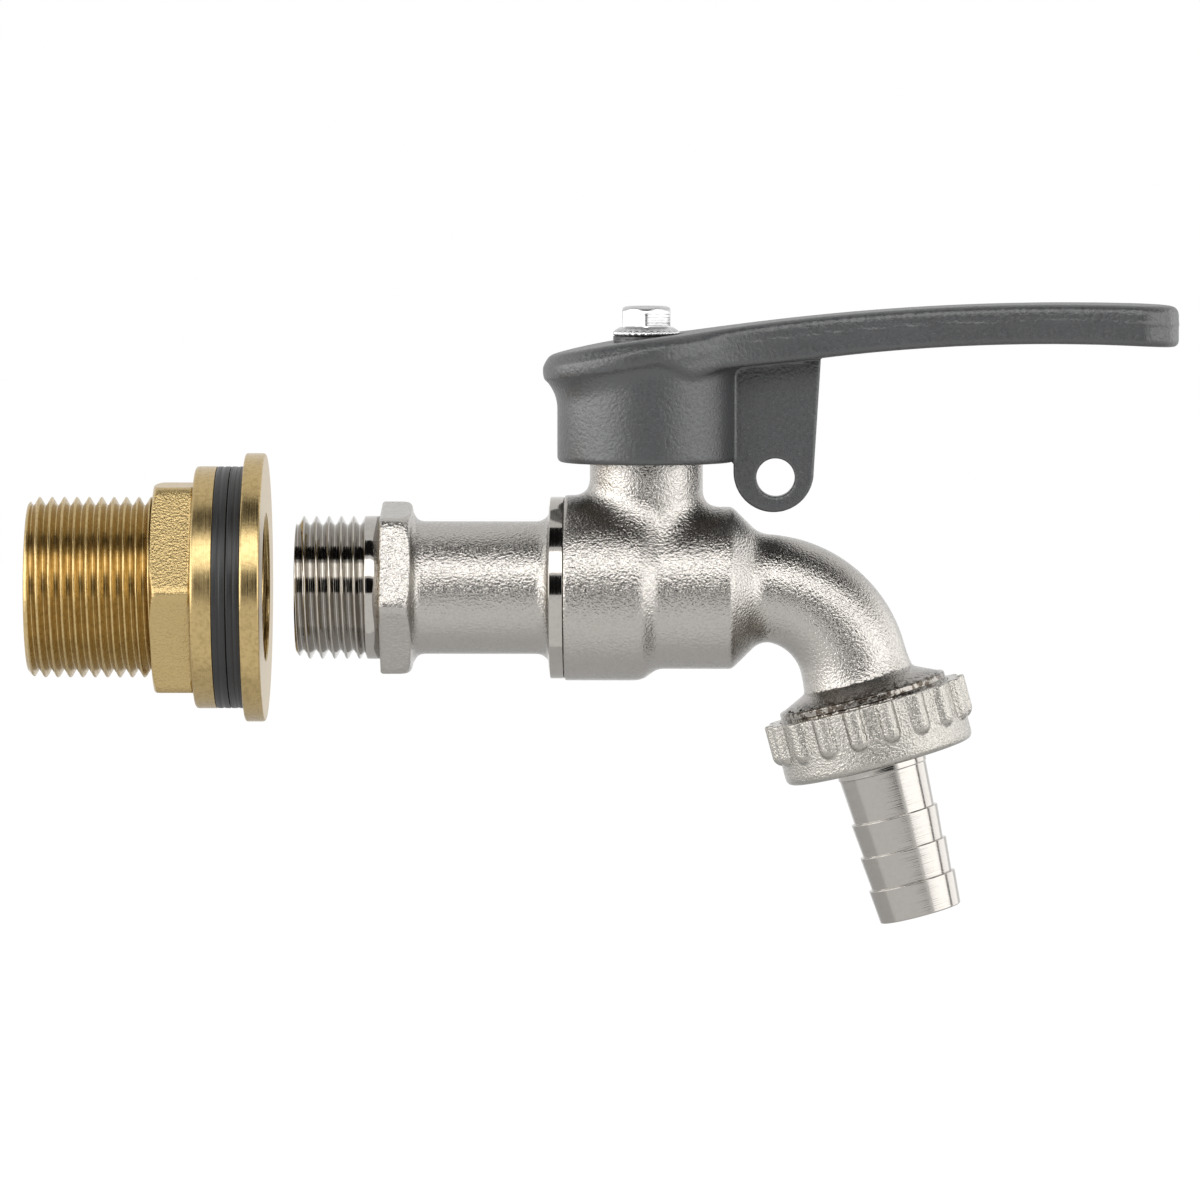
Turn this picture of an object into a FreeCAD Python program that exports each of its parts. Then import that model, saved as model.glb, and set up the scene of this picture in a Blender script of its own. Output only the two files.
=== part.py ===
# Lever ball tap for a water butt, with its hose union and its brass tank connector.
# The origin is on the inlet axis, at the shoulder where the inlet thread meets the hexagon.
# +X follows the water towards the spout, +Z is up, and lengths are in millimetres.
import FreeCAD, Part
import math
import os
import re
import Sketcher

Vector = FreeCAD.Vector

# Two lengths this close count as the same where edges are picked, at this many points of an edge.
NEAR = 0.01
EDGE_POINTS = 5

# Driving sizes, in millimetres, degrees and counts. Everything else is worked out from them.
SIZES = {
    # Fits: pieces that turn or screw in one another, and pieces that must not touch.
    "running_gap": 0.05,
    "loose_gap": 0.2,
    "free_gap": 0.5,
    # How far a cut starts outside what it cuts, and how far joined forms run into one another.
    "cut_margin": 1.0,
    "chamfer_margin": 0.1,
    "joint_overlap": 1.0,
    # Inlet thread, G1/2 outside.
    "inlet_thread_radius": 10.478,
    "inlet_thread_length": 10.45,
    "inlet_land_length": 2.0,
    "inlet_tip_chamfer": 0.9,
    "inlet_bore_radius": 6.6,
    "inlet_bore_end": 2.0,
    # Hexagon, tube and collar of the inlet piece.
    "adapter_flats": 23.3,
    "adapter_hex_width": 2.6,
    "adapter_hex_slope": 1.8,
    "adapter_slope_radius": 2.88,
    "adapter_hex_foot": 1.2,
    "adapter_foot_length": 0.9,
    "adapter_foot_height": 0.7,
    "adapter_hex_angle": 13.3,
    "adapter_tube_radius": 9.7,
    "adapter_collar_width": 2.0,
    "adapter_collar_step": 0.25,
    "adapter_collar_flare": 2.1,
    "adapter_flare_lip": 0.6,
    "adapter_flare_height": 1.5,
    "adapter_screw_radius": 11.0,
    # Seal between the inlet piece and the body.
    "adapter_ring_section": 1.8,
    # Ball and its two seats.
    "ball_place": 38.67,
    "ball_radius": 8.75,
    "waterway_radius": 5.0,
    "seat_mouth_radius": 7.2,
    "seat_lip": 1.2,
    "seat_thickness": 3.0,
    "chamber_gap": 0.45,
    "slot_width": 3.2,
    "slot_floor": 1.4,
    # Body.
    "body_rear_place": 26.7,
    "body_rear_wall": 2.5,
    "body_wall": 2.65,
    "body_step_before": 1.3,
    "body_step_length": 2.9,
    "body_step_fillet": 1.5,
    "body_front_reach": 12.6,
    "body_nose_length": 4.1,
    "neck_wall": 2.15,
    "neck_fillet": 1.2,
    "stop_collar_reach": 2.05,
    "stop_collar_height": 2.0,
    "stop_collar_drop": 2.0,
    # Spout: a tube that turns down.
    "spout_radius": 7.8,
    "spout_bend_radius": 14.6,
    "spout_bend_inset": 0.5,
    "spout_turn": 75.0,
    "spout_straight": 2.8,
    "outlet_cone_length": 1.9,
    "outlet_rim_radius": 12.4,
    "outlet_rim_width": 0.8,
    "outlet_thread_length": 4.8,
    # Stem, its seals and its gland nut.
    "stem_radius": 4.0,
    "stem_ball_gap": 0.25,
    "stem_flange_radius": 5.2,
    "stem_flange_thickness": 1.5,
    "stem_journal": 5.2,
    "stem_square_flats": 5.5,
    "stem_square_short": 0.5,
    "tang_length": 7.0,
    "thrust_washer_thickness": 0.8,
    "stem_ring_section": 1.2,
    "stem_ring_place": 2.0,
    "packing_width": 2.1,
    "packing_height": 3.0,
    "gland_screw_length": 4.5,
    "gland_hex_height": 4.0,
    "gland_flats": 13.0,
    # Lever, from the stem's axis and from the shoulder that it sits on.
    "lever_gland_gap": 1.0,
    "cup_depth": 10.6,
    "cup_wall": 2.2,
    "cup_mouth_fillet": 0.5,
    "head_lip": 0.9,
    "head_shift": 0.8,
    "head_flare_low": 1.1,
    "head_plate_low": 2.1,
    "head_tilt": 10.0,
    "head_corner": 60.0,
    "head_top_height": 4.9,
    "head_top_radius": 150.0,
    "head_top_reach": 5.3,
    "arm_root_height": 8.18,
    "arm_top_radius": 353.0,
    "arm_tip_top": 12.2,
    "arm_root_low": 1.7,
    "arm_root_reach": 7.3,
    "arm_low_radius": 273.0,
    "arm_tip_low": 6.2,
    "arm_neck_reach": 19.4,
    "arm_neck_width": 14.9,
    "arm_neck_radius": 31.3,
    "arm_side_radius": 386.0,
    "arm_tip_width": 16.6,
    "arm_tip_corner": 6.0,
    "arm_corner_along": 5.1,
    "arm_corner_across": 4.2,
    "arm_tip_round": 0.7,
    "lever_reach": 77.7,
    "lever_edge_fillet": 1.0,
    "lever_web": 7.0,
    "lever_square_gap": 0.05,
    "spot_face_gap": 0.5,
    "stop_tab_angle": 16.0,
    "stop_tab_rise": 0.6,
    "stop_play_angle": 1.5,
    "lever_turn": 90.0,
    # Padlock lug under the arm.
    "lug_thickness": 4.0,
    "lug_round_radius": 5.86,
    "lug_round_drop": 12.0,
    "lug_hole_radius": 2.8,
    "lug_hole_drop": 12.8,
    "lug_taper": 1.0,
    "lug_root_rise": 0.4,
    # Bolt and washer on top of the lever.
    "bolt_radius": 1.95,
    "bolt_grip": 9.0,
    "bolt_flange_radius": 4.75,
    "bolt_flange_height": 1.2,
    "bolt_flats": 7.0,
    "bolt_head_height": 3.2,
    "bolt_chamfer_inset": 0.2,
    "bolt_chamfer_drop": 0.8,
    "washer_radius": 4.85,
    "washer_thickness": 0.8,
    "washer_bore_gap": 0.25,
    # Hose union.
    "union_thread_radius": 12.6,
    "union_nut_wall": 1.4,
    "union_nut_gap": 0.35,
    "union_nut_lip": 1.5,
    "union_nut_round": 1.0,
    "union_rib_height": 1.05,
    "union_rib_width": 3.0,
    "union_rib_short": 3.1,
    "union_rib_count": 18,
    "union_nut_angle": 8.6,
    "union_gasket_thickness": 1.8,
    "union_gasket_bore": 5.6,
    # Hose tail.
    "tail_bore_radius": 4.5,
    "tail_flange_thickness": 1.5,
    "tail_root_radius": 6.6,
    "tail_end_radius": 6.0,
    "tail_plain_length": 8.0,
    "barb_radius": 6.48,
    "barb_pitch": 5.0,
    "barb_count": 3,
    # Brass tank connector, thread G3/4 outside and G1/2 inside.
    "connector_gap": 4.5,
    "tank_thread_radius": 13.22,
    "tank_shank_length": 31.8,
    "tank_shank_chamfer": 1.0,
    "tank_flange_radius": 19.65,
    "tank_flange_thickness": 2.9,
    "tank_flange_chamfer": 0.5,
    "tank_socket_gap": 0.07,
    "tank_socket_depth": 13.0,
    "tank_bore_radius": 9.0,
    "tank_gasket_land": 0.38,
    "tank_gasket_thickness": 2.1,
    "tank_nut_flange": 3.1,
    "tank_nut_wall": 1.73,
    "tank_nut_height": 5.9,
    "tank_nut_chamfer": 1.2,
    "tank_nut_chamfer_drop": 0.72,
}

doc = FreeCAD.newDocument("water_butt_tap")
sheet = doc.addObject("Spreadsheet::Sheet", "Sizes")
for row, (alias, value) in enumerate(SIZES.items(), start=1):
    sheet.set(f"A{row}", alias.replace("_", " "))
    sheet.set(f"B{row}", str(value))
    sheet.setAlias(f"B{row}", alias)
doc.recompute()


def formula(text):
    """A formula in the sheet's names, written the way an object's expression needs it."""
    return re.sub(r"[a-z]+(_[a-z]+)+", lambda found: "Sizes." + found.group(0), text)


def worked_out(text):
    """The value of a formula now, used as the starting place of a sketched point."""
    return float(sheet.evalExpression(formula(text)))


# Places along the inlet axis.
CHAMBER = "(ball_radius + chamber_gap)"
SEAT_BALL = "(ball_radius + running_gap)"
SEAT_FRONT = f"sqrt({SEAT_BALL} ^ 2 - seat_mouth_radius ^ 2)"
SEAT_BACK = f"({SEAT_FRONT} + seat_thickness)"
SEAT_OUTER = "(seat_mouth_radius + seat_lip)"
SEAT_BORE = "(waterway_radius + loose_gap)"
SCREW_BORE = "(adapter_screw_radius + running_gap)"
REAR_RADIUS = f"({SCREW_BORE} + body_rear_wall)"
MID_RADIUS = f"({CHAMBER} + body_wall)"
COLLAR_RADIUS = f"({REAR_RADIUS} - adapter_collar_step)"
COLLAR_START = "(body_rear_place - adapter_collar_width)"
INLET_TIP = "(-inlet_thread_length - inlet_land_length)"
RING_GROOVE = "(adapter_ring_section + 2 * running_gap)"
SCREW_END = f"(ball_place - {SEAT_FRONT} - loose_gap)"
CHAMBER_START = f"({SCREW_END} + 2 * running_gap)"
FRONT_START = "(ball_place + body_front_reach)"
FRONT_END = f"({FRONT_START} + body_nose_length)"
BEND_START = f"({FRONT_END} - spout_bend_inset)"

# Heights on the stem's axis.
STEM_LOW = "(ball_radius + stem_ball_gap)"
THRUST_LOW = f"({STEM_LOW} + stem_flange_thickness)"
THRUST_TOP = f"({THRUST_LOW} + thrust_washer_thickness)"
PACKING_LOW = f"({THRUST_TOP} + stem_journal)"
PACKING_TOP = f"({PACKING_LOW} + packing_height)"
NECK_TOP = f"({PACKING_TOP} + gland_screw_length)"
GLAND_TOP = f"({NECK_TOP} + gland_hex_height)"
LEVER_SEAT = f"({GLAND_TOP} + lever_gland_gap)"
SPOT_FACE = f"({LEVER_SEAT} + lever_web)"
SQUARE_TOP = f"({SPOT_FACE} - stem_square_short)"
BOLT_SEAT = f"({SPOT_FACE} + washer_thickness)"
PACKING_BOX = "(stem_radius + packing_width)"
NECK_RADIUS = f"({PACKING_BOX} + neck_wall)"
STOP_RADIUS = f"({NECK_RADIUS} + stop_collar_reach)"
STOP_TOP = f"({NECK_TOP} - stop_collar_drop)"
STEM_HOLE = "(stem_radius + running_gap)"
STEM_RING_LOW = f"({THRUST_TOP} + stem_ring_place)"

WASHER_BORE = "(bolt_radius + washer_bore_gap)"

# Lever, in its own frame: the stem's axis and the shoulder under it.
CUP_INNER = f"({STOP_RADIUS} + free_gap)"
CUP_RADIUS = f"({CUP_INNER} + cup_wall)"
HEAD_RADIUS = f"({CUP_RADIUS} + head_lip)"
HEAD_LEFT = f"(-head_shift - {HEAD_RADIUS})"
LUG_PLACE = f"({CUP_RADIUS} + lug_round_radius)"

# Distances along the outlet axis from the spout's end.
OUTLET_X = (
    f"({BEND_START} + spout_bend_radius * sin(spout_turn)"
    " + spout_straight * cos(spout_turn))"
)
OUTLET_Z = (
    "(-spout_bend_radius * (1 - cos(spout_turn))"
    " - spout_straight * sin(spout_turn))"
)
RIM_END = "(outlet_cone_length + outlet_rim_width)"
OUTLET_END = f"({RIM_END} + outlet_thread_length)"
TAIL_START = f"({OUTLET_END} + union_gasket_thickness)"
LIP_START = f"({TAIL_START} + tail_flange_thickness)"
NUT_END = f"({LIP_START} + union_nut_lip)"
NUT_TOP = f"({RIM_END} + union_nut_gap)"
NUT_BORE = "(union_thread_radius + running_gap)"
NUT_RADIUS = f"({NUT_BORE} + union_nut_wall)"

# Places along the connector, from the outside face of its flange and away from the tap.
GASKET_PAIR = "(2 * tank_gasket_thickness)"
TANK_NUT_PLACE = f"(tank_flange_thickness + {GASKET_PAIR})"
TANK_NUT_BORE = "(tank_thread_radius + running_gap)"
TANK_NUT_HALF = f"({TANK_NUT_BORE} + tank_nut_wall)"
TANK_NUT_CORNER = f"({TANK_NUT_HALF} / cos(30))"
GASKET_RADIUS = f"({TANK_NUT_CORNER} + tank_gasket_land)"
GASKET_BORE = "(tank_thread_radius + loose_gap)"


def placement(x="0", y="0", z="0", axis="0;1;0", angle="0"):
    """The formula of a place and a turn about one axis."""
    return f"placement(vector({x}; {y}; {z}); rotation(vector({axis}); {angle}))"


STEM_FRAME = placement("ball_place")
LEVER_FRAME = placement("ball_place", z=LEVER_SEAT)
OUTLET_FRAME = placement(OUTLET_X, z=OUTLET_Z, angle="spout_turn")
TANK_FRAME = placement(f"{INLET_TIP} - connector_gap", axis="0;0;1", angle="180")


def new_body(name, frame=None):
    """A body whose label names its piece, set in its frame."""
    body = doc.addObject("PartDesign::Body", name)
    body.Label = name
    if frame:
        body.setExpression("Placement", formula(frame))
    return body


def origin_feature(body, role):
    """One of the planes or axes of the body's own origin."""
    return next(feature for feature in body.Origin.OriginFeatures if feature.Role == role)


def new_sketch(body, name, role, offset=None):
    """A sketch on one of the body's own origin planes."""
    sketch = body.newObject("Sketcher::SketchObject", name)
    sketch.AttachmentSupport = [(origin_feature(body, role), "")]
    sketch.MapMode = "FlatFace"
    if offset:
        sketch.setExpression("AttachmentOffset", formula(offset))
    return sketch


def set_size(sketch, kind, geometry, point, text):
    """Holds one coordinate of a point to a formula."""
    value = worked_out(text)
    number = sketch.addConstraint(Sketcher.Constraint(kind, -1, 1, geometry, point, value))
    sketch.setExpression(f"Constraints[{number}]", formula(text))


def arc_between(start, end, radius, turn):
    """The short arc from start to end; turn is 1 to the left and -1 to the right."""
    half = (end - start) * 0.5
    side = Vector(-half.y, half.x, 0).normalize() * turn
    centre = start + half + side * math.sqrt(max(radius**2 - half.Length**2, 0))
    first, last = (start, end) if turn > 0 else (end, start)
    angles = [math.atan2(point.y - centre.y, point.x - centre.x) for point in (first, last)]
    if angles[1] < angles[0]:
        angles[1] += 2 * math.pi
    circle = Part.Circle(centre, Vector(0, 0, 1), radius)
    return Part.ArcOfCircle(circle, *angles)


def draw(sketch, corners, arcs=None, closed=True):
    """Draws lines and arcs through corners given by formulas, and dimensions them.

    arcs maps a corner's number to the radius and the turn of the arc that starts there."""
    arcs = arcs or {}
    places = [Vector(worked_out(across), worked_out(up), 0) for across, up in corners]
    count = len(corners) if closed else len(corners) - 1
    ends = []
    for number in range(count):
        start = places[number]
        end = places[(number + 1) % len(places)]
        if number in arcs:
            radius, turn = arcs[number]
            geometry = sketch.addGeometry(arc_between(start, end, worked_out(radius), turn), False)
            ends.append((geometry, 1, 2) if turn > 0 else (geometry, 2, 1))
            held = sketch.addConstraint(Sketcher.Constraint("Radius", geometry, worked_out(radius)))
            sketch.setExpression(f"Constraints[{held}]", formula(radius))
        else:
            ends.append((sketch.addGeometry(Part.LineSegment(start, end), False), 1, 2))
    for number in range(count if closed else count - 1):
        before = ends[number]
        after = ends[(number + 1) % count]
        sketch.addConstraint(Sketcher.Constraint("Coincident", before[0], before[2], after[0], after[1]))
    for number, (across, up) in enumerate(corners):
        last = number == count
        geometry, point = (ends[-1][0], ends[-1][2]) if last else ends[number][:2]
        set_size(sketch, "DistanceX", geometry, point, across)
        set_size(sketch, "DistanceY", geometry, point, up)
    return sketch


def draw_circle(sketch, radius, across="0", up="0"):
    """A dimensioned circle."""
    centre = Vector(worked_out(across), worked_out(up), 0)
    circle = Part.Circle(centre, Vector(0, 0, 1), worked_out(radius))
    geometry = sketch.addGeometry(circle, False)
    held = sketch.addConstraint(Sketcher.Constraint("Radius", geometry, worked_out(radius)))
    sketch.setExpression(f"Constraints[{held}]", formula(radius))
    set_size(sketch, "DistanceX", geometry, 3, across)
    set_size(sketch, "DistanceY", geometry, 3, up)
    return sketch


def draw_hexagon(sketch, flats, angle="0"):
    """A hexagon by its width across flats; angle turns its first corner from the first axis."""
    corners = []
    for number in range(6):
        turn = f"({60 * number} + {angle})"
        corners.append((f"{flats} / 2 / cos(30) * cos{turn}", f"{flats} / 2 / cos(30) * sin{turn}"))
    return draw(sketch, corners)


def turned(body, name, corners, arcs=None, axis="H_Axis", offset=None, kind="Revolution"):
    """A turned form, or a turned cut, from a half section in the XZ plane."""
    sketch = draw(new_sketch(body, name + "_section", "XZ_Plane", offset), corners, arcs)
    feature = body.newObject("PartDesign::" + kind, name)
    feature.Profile = sketch
    feature.ReferenceAxis = (sketch, [axis])
    feature.Angle = 360
    return feature


def pad(body, name, sketch, length, both_ways=False, kind="Pad"):
    """A pad or a pocket of a sketch."""
    feature = body.newObject("PartDesign::" + kind, name)
    feature.Profile = sketch
    feature.setExpression("Length", formula(length))
    feature.Midplane = both_ways
    return feature


def fillet(body, name, base, radius, wanted):
    """Rounds the edges of the base for which wanted says yes."""
    doc.recompute()
    names = []
    for number, edge in enumerate(base.Shape.Edges, start=1):
        if wanted(edge):
            names.append(f"Edge{number}")
    feature = body.newObject("PartDesign::Fillet", name)
    feature.Base = (base, names)
    feature.setExpression("Radius", formula(radius))
    return feature


def ring(name, frame, inner, outer, start, end, axis="H_Axis"):
    """A flat ring: a washer, a gasket or a packing."""
    body = new_body(name, frame)
    corners = [(start, inner), (end, inner), (end, outer), (start, outer)]
    if axis == "V_Axis":
        corners = [(across, along) for along, across in corners]
    turned(body, name + "_ring", corners, axis=axis)
    return body


def make_inlet_adapter():
    """The turned and forged end piece: inlet thread, hexagon, tube, collar and inner screw."""
    body = new_body("inlet_adapter")
    floor = f"(ball_place - {SEAT_BACK} - running_gap)"
    corners = [
        (INLET_TIP, "inlet_bore_radius"),
        (INLET_TIP, "inlet_thread_radius - inlet_tip_chamfer"),
        (f"{INLET_TIP} + inlet_tip_chamfer", "inlet_thread_radius"),
        ("0", "inlet_thread_radius"),
        ("0", "adapter_tube_radius"),
        (f"{COLLAR_START} - adapter_collar_flare", "adapter_tube_radius"),
        (f"{COLLAR_START} - adapter_flare_lip", "adapter_tube_radius + adapter_flare_height"),
        (COLLAR_START, COLLAR_RADIUS),
        ("body_rear_place", COLLAR_RADIUS),
        ("body_rear_place", "adapter_screw_radius - adapter_ring_section / 2"),
        (f"body_rear_place + {RING_GROOVE}", "adapter_screw_radius - adapter_ring_section / 2"),
        (f"body_rear_place + {RING_GROOVE}", "adapter_screw_radius"),
        (SCREW_END, "adapter_screw_radius"),
        (SCREW_END, f"{SEAT_OUTER} + running_gap"),
        (floor, f"{SEAT_OUTER} + running_gap"),
        (floor, SEAT_BORE),
        (f"{floor} - inlet_bore_end", SEAT_BORE),
        (f"{floor} - inlet_bore_end - inlet_bore_radius + {SEAT_BORE}", "inlet_bore_radius"),
    ]
    turned(body, "adapter_turning", corners, {5: ("adapter_collar_flare", 1)})
    hexagon = new_sketch(body, "adapter_hexagon", "YZ_Plane")
    draw_hexagon(hexagon, "adapter_flats", "adapter_hex_angle + 90")
    hex_end = "(adapter_hex_width + adapter_hex_slope + adapter_hex_foot)"
    pad(body, "adapter_hex", hexagon, hex_end)
    hex_corner = "adapter_flats / 2 / cos(30)"
    bore = new_sketch(body, "adapter_hex_bore", "YZ_Plane")
    draw_circle(bore, "inlet_bore_radius")
    through = pad(body, "adapter_hex_through", bore, hex_end, kind="Pocket")
    through.Reversed = True
    shoulder = [
        ("adapter_hex_width", hex_corner),
        ("adapter_hex_width + adapter_hex_slope", "adapter_flats / 2"),
        (f"{hex_end} - adapter_foot_length", "adapter_tube_radius + adapter_foot_height"),
        (hex_end, "adapter_tube_radius"),
        (f"{hex_end} + cut_margin", "adapter_tube_radius"),
        (f"{hex_end} + cut_margin", f"{hex_corner} + cut_margin"),
        ("adapter_hex_width", f"{hex_corner} + cut_margin"),
    ]
    arcs = {0: ("adapter_slope_radius", -1), 2: ("adapter_hex_foot", 1)}
    turned(body, "adapter_hex_shoulder", shoulder, arcs, kind="Groove")
    return body


def make_adapter_ring():
    """The O-ring behind the collar."""
    groove = "adapter_screw_radius - adapter_ring_section / 2"
    ring_object = doc.addObject("Part::Torus", "adapter_o_ring")
    ring_object.Label = "adapter_o_ring"
    ring_object.setExpression("Radius1", formula(f"{groove} + adapter_ring_section / 2 + running_gap"))
    ring_object.setExpression("Radius2", formula("adapter_ring_section / 2"))
    place = placement(f"body_rear_place + {RING_GROOVE} / 2", angle="90")
    ring_object.setExpression("Placement", formula(place))
    return ring_object


def make_valve_body():
    """The forged body: round chamber, stem neck with its stop, and the bent spout."""
    body = new_body("valve_body")
    corners = [
        ("body_rear_place", "0"),
        ("body_rear_place", REAR_RADIUS),
        ("ball_place - body_step_before", REAR_RADIUS),
        ("ball_place - body_step_before + body_step_length", MID_RADIUS),
        (FRONT_START, MID_RADIUS),
        (f"{FRONT_END} + joint_overlap", "spout_radius - joint_overlap"),
        (f"{FRONT_END} + joint_overlap", "0"),
    ]
    barrel = turned(body, "body_barrel", corners)

    # The step between the barrel's two diameters and the start of its nose are soft.
    def on_step(edge):
        inside = edge.BoundBox.XMin > worked_out("body_rear_place + cut_margin")
        return inside and edge.BoundBox.ZLength > 2 * worked_out(MID_RADIUS) - NEAR

    fillet(body, "step_rounding", barrel, "body_step_fillet", on_step)
    neck = draw_circle(new_sketch(body, "neck_circle", "XY_Plane"), NECK_RADIUS, "ball_place")
    neck_pad = pad(body, "neck", neck, NECK_TOP)

    # Only the seam where the neck grows out of the barrel is rounded.
    neck_radius = worked_out(NECK_RADIUS)
    barrel_top = worked_out(f"{REAR_RADIUS} + cut_margin")

    def at_neck_foot(edge):
        if edge.BoundBox.ZMin < 0 or edge.BoundBox.ZMax > barrel_top:
            return False
        points = edge.discretize(EDGE_POINTS)
        reach = [math.hypot(point.x - worked_out("ball_place"), point.y) for point in points]
        return all(abs(value - neck_radius) < NEAR for value in reach)

    fillet(body, "neck_foot", neck_pad, "neck_fillet", at_neck_foot)

    spine = new_sketch(body, "spout_spine", "XZ_Plane")
    bend_x = f"{BEND_START} + spout_bend_radius * sin(spout_turn)"
    bend_z = "-spout_bend_radius * (1 - cos(spout_turn))"
    run = f"(spout_straight + {OUTLET_END})"
    corners = [
        (f"{FRONT_START} - joint_overlap", "0"),
        (BEND_START, "0"),
        (bend_x, bend_z),
        (f"{bend_x} + {run} * cos(spout_turn)", f"{bend_z} - {run} * sin(spout_turn)"),
    ]
    draw(spine, corners, {1: ("spout_bend_radius", -1)}, closed=False)
    root = placement(z=f"{FRONT_START} - joint_overlap")
    tube = draw_circle(new_sketch(body, "spout_circle", "YZ_Plane", root), "spout_radius")
    spout = body.newObject("PartDesign::AdditivePipe", "spout")
    spout.Profile = tube
    spout.Spine = spine

    outlet = placement(OUTLET_X, OUTLET_Z, axis="0;0;1", angle="-spout_turn")
    corners = [
        ("-joint_overlap", "0"),
        ("-joint_overlap", "spout_radius - joint_overlap"),
        ("0", "spout_radius"),
        ("outlet_cone_length", "outlet_rim_radius"),
        (RIM_END, "outlet_rim_radius"),
        (RIM_END, "union_thread_radius"),
        (OUTLET_END, "union_thread_radius"),
        (OUTLET_END, "0"),
    ]
    turned(body, "outlet", corners, offset=outlet)

    collar_place = placement(z=f"{STOP_TOP} - stop_collar_height")
    collar = new_sketch(body, "stop_collar_circle", "XY_Plane", collar_place)
    draw_circle(collar, STOP_RADIUS, "ball_place")
    pad(body, "stop_collar", collar, "stop_collar_height")
    half_gap = "(lever_turn / 2 + stop_tab_angle / 2 + stop_play_angle)"
    notch_top = placement(z=f"{STOP_TOP} + chamfer_margin")
    notch = new_sketch(body, "stop_notch_outline", "XY_Plane", notch_top)
    outside = f"(({STOP_RADIUS} + cut_margin) / cos{half_gap})"
    corners = [
        (f"ball_place - {NECK_RADIUS} * sin{half_gap}", f"{NECK_RADIUS} * cos{half_gap}"),
        (f"ball_place + {NECK_RADIUS} * sin{half_gap}", f"{NECK_RADIUS} * cos{half_gap}"),
        (f"ball_place + {outside} * sin{half_gap}", f"{outside} * cos{half_gap}"),
        (f"ball_place - {outside} * sin{half_gap}", f"{outside} * cos{half_gap}"),
    ]
    draw(notch, corners, {0: (NECK_RADIUS, -1)})
    pad(body, "stop_notch", notch, "stop_collar_height + 2 * chamfer_margin", kind="Pocket")

    corners = [
        ("body_rear_place", "0"),
        ("body_rear_place", f"{SCREW_BORE} + adapter_ring_section / 2"),
        (f"body_rear_place + {RING_GROOVE}", f"{SCREW_BORE} + adapter_ring_section / 2"),
        (f"body_rear_place + {RING_GROOVE}", SCREW_BORE),
        (CHAMBER_START, SCREW_BORE),
        (CHAMBER_START, CHAMBER),
        (f"ball_place + {SEAT_FRONT} - loose_gap", CHAMBER),
        (f"ball_place + {SEAT_FRONT} - loose_gap", f"{SEAT_OUTER} + running_gap"),
        (f"ball_place + {SEAT_BACK} + running_gap", f"{SEAT_OUTER} + running_gap"),
        (f"ball_place + {SEAT_BACK} + running_gap", SEAT_BORE),
        (FRONT_START, SEAT_BORE),
        (FRONT_START, "0"),
    ]
    turned(body, "ball_chamber", corners, kind="Groove")
    waterway = new_sketch(body, "waterway_circle", "YZ_Plane", root)
    draw_circle(waterway, SEAT_BORE)
    channel = body.newObject("PartDesign::SubtractivePipe", "waterway")
    channel.Profile = waterway
    channel.Spine = spine
    corners = [
        ("0", "waterway_radius"),
        ("stem_flange_radius + loose_gap", "waterway_radius"),
        ("stem_flange_radius + loose_gap", THRUST_TOP),
        (STEM_HOLE, THRUST_TOP),
        (STEM_HOLE, PACKING_LOW),
        (f"{PACKING_BOX} + running_gap", PACKING_LOW),
        (f"{PACKING_BOX} + running_gap", f"{NECK_TOP} + cut_margin"),
        ("0", f"{NECK_TOP} + cut_margin"),
    ]
    turned(body, "stem_bore", corners, axis="V_Axis", offset=placement("ball_place"), kind="Groove")
    return body


def make_ball():
    """The bored ball with the slot that the stem's tang turns it by."""
    sphere = doc.addObject("Part::Sphere", "ball_sphere")
    sphere.setExpression("Radius", formula("ball_radius"))
    sphere.setExpression("Placement", formula(STEM_FRAME))
    bore = doc.addObject("Part::Cylinder", "ball_bore")
    bore.setExpression("Radius", formula("waterway_radius"))
    bore.setExpression("Height", formula("2 * ball_radius + 2 * cut_margin"))
    bore.setExpression("Placement", formula(placement("ball_place - ball_radius - cut_margin", angle="90")))
    slot = doc.addObject("Part::Box", "ball_slot")
    slot.setExpression("Length", formula("slot_width"))
    slot.setExpression("Width", formula("ball_radius * 2"))
    slot.setExpression("Height", formula("ball_radius"))
    place = placement("ball_place - slot_width / 2", "-ball_radius", "waterway_radius + slot_floor")
    slot.setExpression("Placement", formula(place))
    bored = doc.addObject("Part::Cut", "ball_bored")
    bored.Base = sphere
    bored.Tool = bore
    ball = doc.addObject("Part::Cut", "ball")
    ball.Label = "ball"
    ball.Base = bored
    ball.Tool = slot
    return ball


def make_seat(name, angle):
    """One of the two plastic seats, hollowed to the ball. It is made beside the ball's centre."""
    body = new_body(name, placement("ball_place", axis="0;0;1", angle=angle))
    corners = [
        (f"sqrt({SEAT_BALL} ^ 2 - {SEAT_BORE} ^ 2)", SEAT_BORE),
        (SEAT_BACK, SEAT_BORE),
        (SEAT_BACK, SEAT_OUTER),
        (SEAT_FRONT, SEAT_OUTER),
        (SEAT_FRONT, "seat_mouth_radius"),
    ]
    turned(body, name + "_ring", corners, {4: (SEAT_BALL, -1)})
    return body


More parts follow.
